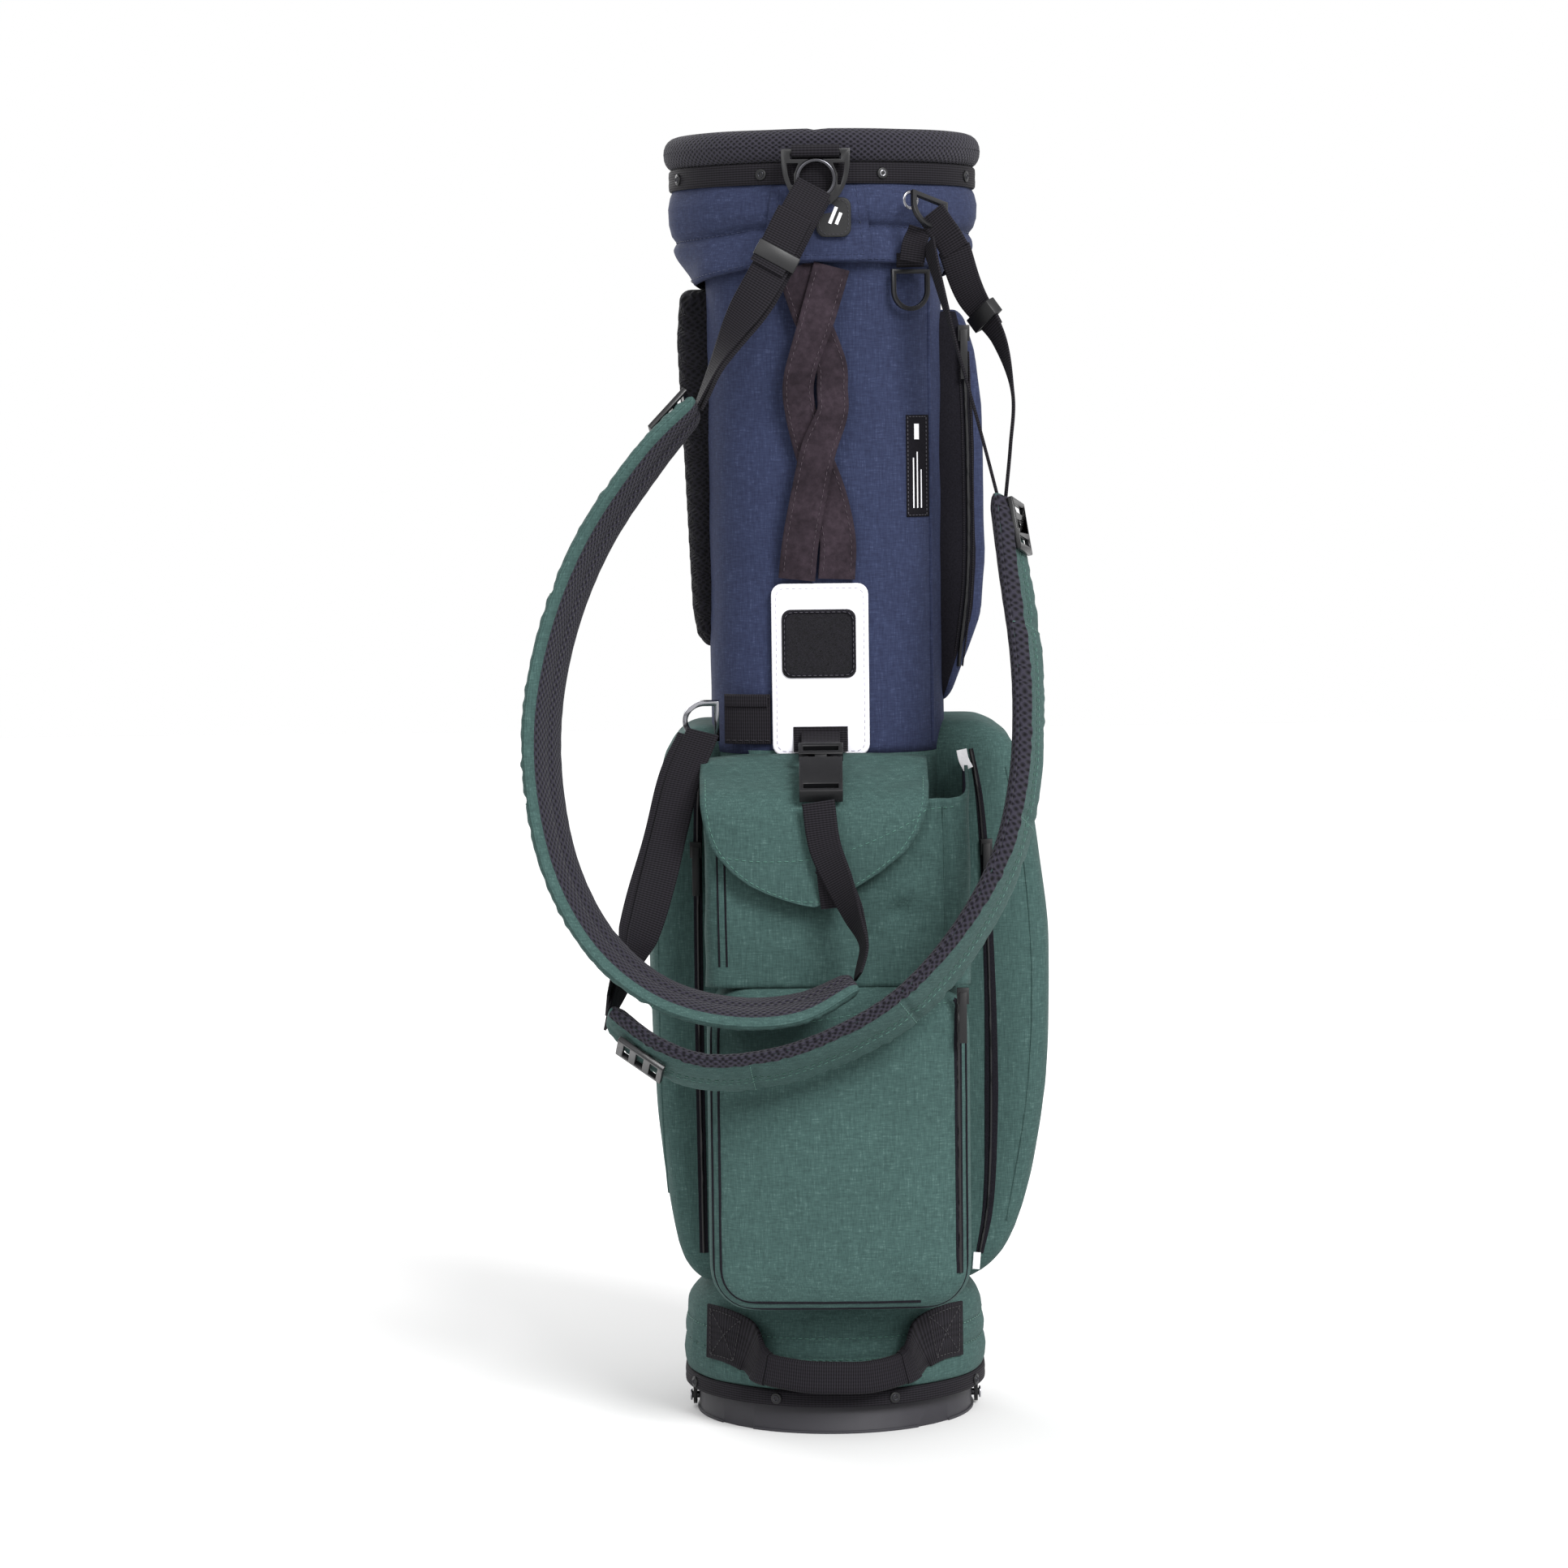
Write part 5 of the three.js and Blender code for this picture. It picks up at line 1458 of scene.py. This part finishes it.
RIGHT_IN = [
    (71, -112, 812), (76, -118, 791), (86, -122, 753), (98, -125, 709), (108, -127, 671),
    (117, -127.5, 635),
]
RIGHT_OUT = [
    (88, -113, 808), (98, -120, 778), (117, -126, 747), (126, -130, 709), (124, -131, 676),
    (120, -129, 636),
]
EDGE_ON = [(0.35, -0.9, 0), (0.2, -1, 0), (0, -1, 0), (0, -1, 0), (0, -1, 0)]
RIGHT_OUT_ACROSS = [(1, -0.2, 0.2), (0.9, -0.5, 0.2), (0.4, -0.9, 0), (0, -1, 0), (0, -1, 0), (0, -1, 0)]
strap("strap_right_inner", RIGHT_IN, EDGE_ON, 21, 1.5, "webbing_right_inner")
strap("strap_right_outer", RIGHT_OUT, RIGHT_OUT_ACROSS, 22, 1.5, "webbing_right_outer", steps=90)
strap(
    "strap_right_fold", RIGHT_OUT, RIGHT_OUT_ACROSS, 21, 1.5, start=0.0, end=0.36, lift=2.0, shift=-1.0,
    steps=30,
)
RIGHT_TOP = [(73, -108, 832), (78, -111, 824), (84, -113, 815), (89, -114, 806)]
strap(
    "strap_right_turn", RIGHT_TOP, [(0.8, -0.3, 0.4), (0.9, -0.3, 0.3), (1, -0.2, 0.2)], 20, 1.6, steps=24,
)

D_RING_DOWN = [
    (-85, -93, 484), (-98, -107, 454), (-106, -121, 424), (-115, -138, 388), (-126, -151, 351),
    (-137, -159, 326), (-149, -184, 299),
]
D_RING_ACROSS = [
    (0.95, -0.1, 0.3), (0.95, 0, 0.3), (0.95, 0, 0.3), (0.9, 0.2, 0.3), (0.75, 0.5, 0.3), (0.4, 0.8, 0.2),
    (0.1, 1, 0),
]
strap("strap_right_bottom", D_RING_DOWN, D_RING_ACROSS, 24, 1.7, "webbing_right_bottom", steps=90)
strap(
    "strap_right_bottom_fold", D_RING_DOWN, D_RING_ACROSS, 23, 1.6, start=0.02, end=0.97, lift=2.4,
    shift=-6.5, wave=1.2, steps=80,
)

BUCKLE_DOWN = [
    (-7, -170, 442), (-3, -173, 413), (6, -179, 390), (15, -187, 368), (22, -195, 349), (18, -204, 329),
]
BUCKLE_ACROSS = [
    (1, 0, 0.1), (0.95, -0.2, 0.2), (0.8, -0.5, 0.3), (0.5, -0.8, 0.2), (0.2, -1, 0), (0.1, -1, 0),
]
strap("strap_left_bottom", BUCKLE_DOWN, BUCKLE_ACROSS, 22, 1.7, "webbing_left_bottom", steps=80)
strap(
    "strap_left_bottom_tail", BUCKLE_DOWN, BUCKLE_ACROSS, 21, 1.6, start=0.3, end=0.86, lift=2.6,
    shift=-3.0, wave=1.8, steps=50,
)
TAIL = [(-2, -168.5, 412), (1, -169, 398), (2.5, -168.5, 384), (4, -167.5, 371)]
strap("strap_left_bottom_end", TAIL, [X_WAY, (1, 0, 0.1), (0.95, -0.1, 0.15)], 20, 1.6, steps=24)

ANCHOR_WEB = [(-39, -90.8, 492), (-52, -88.5, 492), (-62, -85, 492), (-70, -80, 492)]
strap(
    "strap_anchor", [(x, y - 0.6, z) for x, y, z in ANCHOR_WEB], [Z_WAY, Z_WAY], 34, 1.8, "d_ring_webbing",
    steps=30,
)
strap(
    "strap_anchor_upper_fold", [(x, y - 2.6, z + 12.5) for x, y, z in ANCHOR_WEB], [Z_WAY, Z_WAY], 8, 1.6,
    start=0.05, end=1, steps=24,
)
for name, z in (("anchor_stitches_upper", 507), ("anchor_stitches_lower", 477.5)):
    places = [
        (Vector((x, y - 1.9, z)), Vector((0.2, -1, 0)))
        for x, y, _ in [curve_through(ANCHOR_WEB)(k / 12) for k in range(13)]
    ]
    stitches_on(name, places, black_thread, "black_webbing")

RING_LOOP = [
    (-4, -108.4, 846), (-4, -110.6, 860), (-4, -112.3, 872), (-4, -113.6, 876), (-4, -116, 877.2),
    (-4, -118.6, 876), (-4, -119.7, 873.3), (-4, -118.6, 870.8), (-4, -115.8, 869.9),
]
strap("strap_ring_loop_webbing", RING_LOOP, [X_WAY, X_WAY], 32, 1.2, "strap_ring_loop", steps=48)
BUCKLE_WEB = [(-5, -97, 483), (-5, -108, 478), (-5, -121.5, 475.5)]
strap("buckle_anchor_webbing", BUCKLE_WEB, [X_WAY, X_WAY], 26, 1.6, "buckle_webbing", steps=20)
strap(
    "buckle_anchor_patch", [(-5, -96.2, 487), (-5, -96.6, 478), (-5, -98, 470)], [X_WAY, X_WAY], 37, 1.5,
    steps=12,
)
TOWEL_TAB_WIDTH = 20
strap(
    "towel_tab", [(59, -90.4, 806), (59, -89.6, 796.4)], [(0.92, 0.39, 0), (0.92, 0.39, 0)],
    TOWEL_TAB_WIDTH, 1.5, "towel_ring_tab", steps=10,
)
strap(
    "towel_tab_fold", [(58.4, -92.2, 805), (58.4, -91.8, 797)], [(0.92, 0.39, 0), (0.92, 0.39, 0)],
    TOWEL_TAB_WIDTH - 1.5, 1.2, steps=8,
)
SIDE_TAB = [(66, -104.5, 822), (62, -105.5, 812), (60, -104, 800)]
strap("collar_side_tail", SIDE_TAB, [(0.8, -0.2, 0.5), (0.9, -0.2, 0.3)], 17, 1.6, steps=16)

# ---------------------------------------------------------------------------
# Base handle: webbing sewn down flat at both ends with crossed stitches, and
# folded in half along its middle to make the grip.
GRIP = [
    (-88, -62, 66), (-74, -78, 65), (-60, -91, 60), (-50, -104, 49), (-25, -117, 45), (0, -121, 44),
    (25, -117, 44), (50, -104, 49), (60, -91, 61), (74, -78, 66), (88, -62, 66),
]


def grip_section(t):
    """The webbing is flat at both ends and folded narrow and thick between."""
    middle = smooth(0.2, 0.33, t) * smooth(0.8, 0.67, t)
    width = 38 - 16 * middle
    thickness = 2.2 + 3.4 * middle
    return [(x, z + 0.4 * math.sin(t * 40) * middle) for x, z in ribbon_section(width, thickness)]


grip_frames = frames_along(GRIP, [Z_WAY, Z_WAY])
grip = sweep("base_handle_webbing", grip_frames, grip_section, 120)
settle(grip, "bag", black_webbing, "black_webbing", "base_handle")
BOX_STITCH = ((0.02, -16), (0.15, -15), (0.15, 15), (0.02, 16), (0.02, -16))
CROSS_STITCHES = (((0.02, -16), (0.15, 15)), ((0.02, 16), (0.15, -15)))
for number, corners in enumerate((BOX_STITCH, *CROSS_STITCHES)):
    for side in ("left", "right"):
        places = []
        for (t0, x0), (t1, x1) in zip(corners, corners[1:]):
            for k in range(16):
                t, x = t0 + (t1 - t0) * k / 15, x0 + (x1 - x0) * k / 15
                place, across, _, out = grip_frames(t if side == "left" else 1 - t)
                out = out if out.y < 0 else -out
                places.append((place + across * x + out * 1.2, out))
        stitches_on(
            f"base_handle_stitches_{side}_{number + 1}", places, black_thread, "black_webbing", pitch=3.4,
            length=2.5,
        )
for side, t in (("left", 0.30), ("right", 0.70)):
    frames = frames_along(GRIP, [Z_WAY, Z_WAY])
    wrap = sweep(
        f"base_handle_wrap_{side}", frames, lambda t: [(x * 1.05, z * 1.35) for x, z in grip_section(t)], 8,
        start=t - 0.018, end=t + 0.018,
    )
    settle(wrap, "bag", black_webbing, "black_webbing")

# ---------------------------------------------------------------------------
# Lift handle: two ribbons of soft brushed brown cloth, folded and top-stitched
# along both edges, that cross each other twice.


def brushed(name, dark, light):
    """Brushed microfibre: a short matte nap that is mottled lighter where it lies over."""
    made, shader = finish_material(
        name, {"Roughness": 0.95, "Sheen Weight": 0.2, "Sheen Roughness": 0.4, "Specular IOR Level": 0.15},
    )
    shader.inputs["Sheen Tint"].default_value = tint(light)
    place = add_node(made, "TexCoord").outputs["Object"]
    nap = add_node(
        made, "TexNoise", {"Vector": place, "Scale": 240, "Detail": 4, "Roughness": 0.65},
    ).outputs[0]
    patch = add_node(made, "TexNoise", {"Vector": place, "Scale": 45, "Detail": 3}).outputs[0]
    both = add_node(made, "Math", {0: nap, 1: patch}, operation="MULTIPLY").outputs[0]
    level = add_node(made, "MapRange", {0: both, 1: 0.1, 2: 0.42, 3: 0, 4: 1}).outputs[0]
    colour = add_node(made, "Mix", {0: level, 6: tint(dark), 7: tint(light)}, data_type="RGBA").outputs[2]
    made.node_tree.links.new(colour, shader.inputs["Base Color"])
    relief = add_node(made, "Bump", {"Height": both, "Strength": 0.35, "Distance": 0.001}).outputs[0]
    made.node_tree.links.new(relief, shader.inputs["Normal"])
    return made


brown_ribbon = brushed("brushed_microfibre_brown", "#1b151a", "#342b32")
brown_thread = thread("polyester_thread_brown", "#3b3239")
STRAND_P = [
    (6, -101, 797), (-4, -110, 763), (-15.5, -109, 728), (-17.5, -105.5, 715), (-16, -102.5, 700),
    (-8, -100, 672), (2, -99, 644), (8, -98, 613), (7, -95.5, 587),
]
STRAND_Q = [
    (-19, -97.6, 797), (-8, -103, 763), (5, -103, 731), (5.5, -105.5, 715), (5.5, -109, 700),
    (-4, -108, 675), (-11, -106, 644), (-17, -101, 613), (-20, -95.5, 587),
]
STRAND_WIDTH = [(0, 25), (0.12, 24), (0.22, 21), (0.5, 21), (0.62, 24), (1, 25)]
for side, centres in (("right", STRAND_P), ("left", STRAND_Q)):
    frames = frames_along(centres, [X_WAY, X_WAY])

    def strand_section(t, side=side):
        w = table_value(STRAND_WIDTH, t)
        cup = 1.1 * smooth(0.1, 0.4, t) * smooth(0.9, 0.6, t)
        pairs = []
        for x, z in ribbon_section(w, 2.6):
            bulge = 0.5 * (1 - (2 * x / w) ** 2) if z > 0 else 0
            pairs.append((x, z + bulge + cup * (2 * x / w) ** 2 * 1.6 - cup * 0.6))
        return pairs

    piece = sweep(f"lift_handle_{side}", frames, strand_section, 110, smooth_angle=60)
    settle(piece, "bag", brown_ribbon, "brown_webbing", f"handle_strand_{side}")
    for number, x_share in enumerate((-0.74, 0.74), 1):
        places = []
        for t, place, across, out in walk(frames, 119, 0.02, 0.96):
            out_sign = 1 if out.y < 0 else -1
            w = table_value(STRAND_WIDTH, t)
            cup = 1.1 * smooth(0.1, 0.4, t) * smooth(0.9, 0.6, t)
            rise = 1.4 * out_sign + cup * x_share ** 2 * 1.6 - cup * 0.6
            places.append((place + across * x_share * w / 2 + out * rise, out * out_sign))
        stitches_on(
            f"lift_handle_{side}_stitches_{number}", places, brown_thread, "brown_webbing", pitch=4,
            length=2.6, lift=0.1,
        )

# ---------------------------------------------------------------------------
# Glove patch: smooth white vinyl over thin foam, with a square of fuzzy black
# loop tape for a glove's cuff. Both are stitched round their edges.
# Calendered vinyl: white, with a fine pebbled emboss and a light, uneven soiling.
vinyl, vinyl_shader = finish_material(
    "embossed_vinyl_white",
    {"Base Color": tint("#dcdbe1"), "Roughness": 0.42, "Coat Weight": 0.15, "Coat Roughness": 0.3},
)
vinyl_place = add_node(vinyl, "TexCoord").outputs["Object"]
vinyl_grain = add_node(vinyl, "TexVoronoi", {"Vector": vinyl_place, "Scale": 1100}).outputs["Distance"]
vinyl_relief = add_node(
    vinyl, "Bump", {"Height": vinyl_grain, "Strength": 0.12, "Distance": 0.0003},
).outputs[0]
vinyl.node_tree.links.new(vinyl_relief, vinyl_shader.inputs["Normal"])
vinyl_soil = add_node(vinyl, "TexNoise", {"Vector": vinyl_place, "Scale": 30, "Detail": 3}).outputs[0]
vinyl_tone = add_node(
    vinyl, "Mix", {0: vinyl_soil, 6: tint("#d9d8df"), 7: tint("#e3e2e8")}, data_type="RGBA",
).outputs[2]
vinyl.node_tree.links.new(vinyl_tone, vinyl_shader.inputs["Base Color"])


def thin_patch(name, sizes, radius, back, depth, edge, crown, material, slot, *nodes, bow=0.0):
    """A thin padded patch on the front of the tube, its edge rolled over."""
    rows = []
    u0, u1, v0, v1 = sizes
    reach = min(u1 - u0, v1 - v0) / 2 - 1
    stages = [(0, 0), (0, depth - edge)] + [
        (edge * (1 - math.cos(a)), depth - edge + edge * math.sin(a))
        for a in (math.pi / 2 * k / 4 for k in range(1, 5))
    ]
    stages += [(edge + (reach - edge) * k / 10, depth) for k in range(1, 11)]
    for inset, out in stages:
        swell = crown * smooth(edge, edge + 9, inset)
        outline = round_cornered(*sizes, radius, inset, 16, 6)
        rows.append([Vector((p.x, back - out - swell + bow * ((p.x + 5) / 30) ** 2, p.y)) for p in outline])
    piece = make_skin(name, rows, around=True, capped=True)
    settle(piece, "bag", material, slot, *nodes)
    return piece


GLOVE_PATCH, LOOP_SQUARE = (-37.6, 28.3, 467, 584), (-30.6, 19.7, 520, 566.5)
patch = thin_patch(
    "glove_patch_vinyl", GLOVE_PATCH, 7.5, -92.2, 3.0, 1.3, 0.7, vinyl, "white_vinyl", "glove_patch",
)


def rim_line(sizes, radius, inset):
    """A closed line round a patch, in from its edge."""
    outline = round_cornered(*sizes, radius, inset, 16, 6)
    return [Vector((p.x, 0, p.y)) for p in outline] + [Vector((outline[0].x, 0, outline[0].y))]


stitches_on(
    "glove_patch_stitches", laid_on(patch, rim_line(GLOVE_PATCH, 7.5, 3.2), TOWARD_BACK), white_thread,
    "white_vinyl", pitch=4.2, length=2.8, lift=0.0,
)


def fuzz(name, dark, light):
    """Nylon loop tape: a dense tangle of fine loops, with no gloss.

    The loops are drawn 1 mm across, coarser than the real ones, so that they show."""
    made, shader = finish_material(name, {"Roughness": 1.0, "Sheen Weight": 0.1, "Specular IOR Level": 0.1})
    place = add_node(made, "TexCoord").outputs["Object"]
    loops = add_node(
        made, "TexNoise",
        {"Vector": place, "Scale": 1000, "Detail": 4, "Roughness": 0.8, "Distortion": 1.5},
    ).outputs[0]
    level = add_node(made, "MapRange", {0: loops, 1: 0.42, 2: 0.62, 3: 0, 4: 1}).outputs[0]
    colour = add_node(made, "Mix", {0: level, 6: tint(dark), 7: tint(light)}, data_type="RGBA").outputs[2]
    made.node_tree.links.new(colour, shader.inputs["Base Color"])
    relief = add_node(made, "Bump", {"Height": loops, "Strength": 1.0, "Distance": 0.0015}).outputs[0]
    made.node_tree.links.new(relief, shader.inputs["Normal"])
    return made


loop_tape = fuzz("nylon_loop_tape_black", "#060608", "#25232b")
hook = thin_patch(
    "glove_patch_loop_square", LOOP_SQUARE, 5.5, -95.6, 1.9, 0.9, 0.0, loop_tape, "hook_loop",
    "hook_loop_patch",
)
hook_border = laid_on(hook, rim_line(LOOP_SQUARE, 5.5, 1.8), TOWARD_BACK)
strip_on("loop_square_border", hook_border, cord_section(0.9, 6), zip_tape, "hook_loop")
stitches_on(
    "loop_square_stitches", [(p + n * 0.9, n) for p, n in hook_border],
    thread("polyester_thread_grey", "#3c3a41"), "hook_loop", pitch=3.6, length=2.4,
)

# ---------------------------------------------------------------------------
# Labels: a soft black rubber badge low on the collar and a woven black label on
# the tube's right. Both carry only a plain mark.
rubber_badge = moulded("moulded_pvc_black", "#141416", 0.6)
BADGE = (-4, 19.4, 816.5, 843)
badge = thin_patch(
    "collar_badge", BADGE, 1.4, -107.4, 1.6, 0.8, 0.0, rubber_badge, "rubber", "collar_patch",
)
stitches_on(
    "collar_badge_stitches", laid_on(badge, rim_line(BADGE, 2, 1.9), TOWARD_BACK),
    thread("polyester_thread_charcoal", "#333238"), "rubber", pitch=2.8, length=1.9, thick=0.35,
)
mark_white = tape("woven_thread_white", "#d9d9dd", "#f2f2f4")
for number, corners in enumerate((((5.0, 0, 825.5), (9.6, 0, 836.5)), ((9.4, 0, 825.0), (12.6, 0, 832.6)))):
    places = laid_on(badge, line(*corners, steps=8), TOWARD_BACK)
    strip_on(f"collar_badge_bar_{number + 1}", places, tape_section(2.2, 0.45), mark_white, "rubber")
label_rows = []
for k in range(13):
    x = 55 + 15 * k / 12
    hits = laid_on(upper_tube, [Vector((x, 0, 628 + 69 * j / 20)) for j in range(21)], TOWARD_BACK, 0.5)
    label_rows.append([p for p, _ in hits])
label = make_skin("side_label", label_rows)
apply_modifier(label, "SOLIDIFY", thickness=0.7 * MM, offset=0)
settle(label, "bag", tape("woven_label_black", "#0e0d10", "#1c1b20"), "black_webbing")
label_edge = [
    Vector((x, 0, z))
    for x, z in ((56.2, 629.2), (68.8, 629.2), (68.8, 695.8), (56.2, 695.8), (56.2, 629.2))
]
edge_places = laid_on(
    label, [p for a, b in zip(label_edge, label_edge[1:]) for p in line(a, b, steps=14)], TOWARD_BACK, 0.1,
)
stitches_on(
    "side_label_stitches", edge_places, thread("polyester_thread_slate", "#3a3940"), "black_webbing",
    pitch=2.8, length=1.8, thick=0.35,
)
for number, (x, z0, z1, wide) in enumerate(
    ((62.3, 680.5, 691, 4.2), (60.0, 634, 668, 0.9), (62.6, 634, 672, 0.9), (65.2, 634, 660, 0.9)), 1,
):
    places = laid_on(label, line((x, 0, z0), (x, 0, z1), steps=10), TOWARD_BACK, 0.05)
    strip_on(f"side_label_bar_{number}", places, tape_section(wide, 0.3), mark_white, "black_webbing")

# The tube's right-hand seam: a folded welt of the navy cloth, from collar to green.
welt = smoothed(laid_on(upper_tube, line((71.5, 0, 474), (71.5, 0, 796), steps=70), TOWARD_BACK), 2)
strip_on("tube_welt", welt, [(x * 1.5, z * 1.25) for x, z in cord_section(1.2)], navy_cloth, "navy_cloth")

# Light grey pull loops show where the side zip ends, above and below.
UPPER_END = ((90.5, -93.5, 470), (92, -95, 463), (95, -96, 457))
LOWER_END = ((99, -64, 119), (98.5, -66.5, 114), (98, -66, 108))
for number, centres in enumerate((UPPER_END, LOWER_END), 1):
    strap(
        f"side_zip_end_{number}", centres, [X_WAY, (1, 0, 0.2)], 7 if number == 1 else 5, 1.0,
        material=mark_white, steps=10,
    )

# ---------------------------------------------------------------------------
# Hard fittings: moulded and cast pieces keep the shape of the frame, with the
# small radius that a mould or a die leaves on every edge.


def softened(name, material, width, slot):
    """A copy of a hard CAD piece, its edges rounded by a width in mm."""
    mesh = frame["nodes"][name].data.copy()
    piece = bpy.data.objects.new(name + "_finished", mesh)
    bpy.context.scene.collection.objects.link(piece)
    bpy.context.view_layer.objects.active = piece
    piece.select_set(True)
    bpy.ops.object.mode_set(mode="EDIT")
    bpy.ops.mesh.select_all(action="SELECT")
    bpy.ops.mesh.remove_doubles(threshold=0.00001)
    bpy.ops.mesh.dissolve_limited(angle_limit=math.radians(2))
    bpy.ops.object.mode_set(mode="OBJECT")
    apply_modifier(
        piece, "BEVEL", width=width * MM, segments=2, limit_method="ANGLE", angle_limit=math.radians(35),
        harden_normals=False,
    )
    bpy.ops.object.shade_smooth_by_angle(angle=math.radians(38))
    piece.select_set(False)
    settle(piece, body_of[name], material, slot, name)


body_of = {}
for body_name, held in frame["record"]["behaviour"]["bodies"].items():
    for node_name in held if isinstance(held, list) else held.get("nodes", []):
        body_of[node_name] = body_name

# Drawn aluminium tube, anodised black: satin, with fine streaks along its length.
anodised, anodised_shader = finish_material(
    "anodised_aluminium_black", {"Base Color": tint("#2b2b2f"), "Metallic": 0.85, "Roughness": 0.34},
)
anodised_place = add_node(anodised, "TexCoord").outputs["Object"]
anodised_streak = add_node(
    anodised, "Mapping", {"Vector": anodised_place, "Scale": (900, 900, 12)},
).outputs[0]
anodised_noise = add_node(
    anodised, "TexNoise", {"Vector": anodised_streak, "Scale": 1, "Detail": 2},
).outputs[0]
anodised_rough = add_node(anodised, "MapRange", {0: anodised_noise, 3: 0.26, 4: 0.46}).outputs[0]
anodised.node_tree.links.new(anodised_rough, anodised_shader.inputs["Roughness"])
black_rubber = moulded("moulded_rubber_black", "#151516", 0.78)
bright_nylon = moulded("moulded_nylon_black_polished", "#161618", 0.3)
zinc_place = add_node(zinc, "TexCoord").outputs["Object"]
zinc_wear = add_node(zinc, "TexNoise", {"Vector": zinc_place, "Scale": 220, "Detail": 3}).outputs[0]
zinc_rough = add_node(zinc, "MapRange", {0: zinc_wear, 3: 0.12, 4: 0.3}).outputs[0]
zinc.node_tree.links.new(zinc_rough, zinc_shader.inputs["Roughness"])

for name, material, width, slot in (
    ("strap_ring", bright_nylon, 0.9, "black_plastic"),
    ("collar_side_ring", bright_nylon, 1.1, "black_plastic"),
    ("towel_ring", bright_nylon, 1.1, "black_plastic"),
    ("metal_d_ring", zinc, 1.2, "steel"),
    ("buckle_plug", black_nylon, 0.9, "black_plastic"),
    ("buckle_socket", black_nylon, 1.1, "black_plastic"),
    ("buckle_arm_left", black_nylon, 0.5, "black_plastic"),
    ("buckle_arm_right", black_nylon, 0.5, "black_plastic"),
    ("keeper_left", black_nylon, 0.6, "black_plastic"),
    ("keeper_right", black_nylon, 0.6, "black_plastic"),
    ("ladder_lock_left", bright_nylon, 0.9, "black_plastic"),
    ("ladder_lock_right", bright_nylon, 0.9, "black_plastic"),
    ("ladder_lock_bottom", bright_nylon, 0.9, "black_plastic"),
    ("zip_pull_ball", black_nylon, 0.6, "black_plastic"),
    ("zip_pull_upper", black_nylon, 0.6, "black_plastic"),
    ("zip_pull_side_left", black_nylon, 0.6, "black_plastic"),
    ("zip_pull_side_right", black_nylon, 0.6, "black_plastic"),
    ("leg_bracket", black_nylon, 1.0, "black_plastic"),
    ("rod_guide", black_nylon, 0.8, "black_plastic"),
    ("top_frame", black_nylon, 0.8, "black_plastic"),
    ("bottom_ring", black_nylon, 0.6, "black_plastic"),
    ("leg_tube_left", anodised, 0.4, "dark_aluminium"),
    ("leg_tube_right", anodised, 0.4, "dark_aluminium"),
    ("leg_foot_left", black_rubber, 0.8, "rubber"),
    ("leg_foot_right", black_rubber, 0.8, "rubber"),
    ("actuator_rod", zinc, 0.3, "steel"),
    ("hinge_pin_left", zinc, 0.4, "steel"),
    ("hinge_pin_right", zinc, 0.4, "steel"),
    ("base_foot", base_polypropylene, 0.7, "base_plastic"),
    ("divider_panels", lining, 0.6, "lining"),
):
    softened(name, material, width, slot)

# The strap ring's inner hoop is a dark plated wire. The right strap's ring hangs from
# a bright eyelet pressed through the collar.
bpy.ops.mesh.primitive_torus_add(
    location=(0, 0, 0), major_radius=12.4 * MM, minor_radius=1.5 * MM, major_segments=48, minor_segments=12,
)
hoop_wire = bpy.context.object
hoop_wire.name = "strap_ring_hoop"
bpy.ops.object.shade_smooth()
hoop_wire.data.transform(
    Matrix.Translation(Vector((-4, -117.4, 855)) * MM) @ Matrix.Rotation(math.pi / 2, 4, "X")
)
hoop_wire.select_set(False)
# Zinc with a black nickel plating: dark grey, with a sharp highlight.
gunmetal, _ = finish_material(
    "plated_zinc_gunmetal", {"Base Color": tint("#4a4a4e"), "Metallic": 1, "Roughness": 0.24},
)
settle(hoop_wire, body_of["strap_ring"], gunmetal, "steel")
bpy.ops.mesh.primitive_torus_add(
    location=(0, 0, 0), major_radius=5.4 * MM, minor_radius=1.2 * MM, major_segments=40, minor_segments=10,
)
eyelet = bpy.context.object
eyelet.name = "collar_eyelet"
bpy.ops.object.shade_smooth()
eyelet_way = Vector((math.sin(math.radians(34)), -math.cos(math.radians(34)), 0))
eyelet.data.transform(
    Matrix.Translation(
        eyelet_way * 106.4 * MM + Vector((0, 0, 0.8415))
    ) @ eyelet_way.to_track_quat("Z", "Y").to_matrix().to_4x4()
)
eyelet.select_set(False)
settle(eyelet, "bag", zinc, "steel")
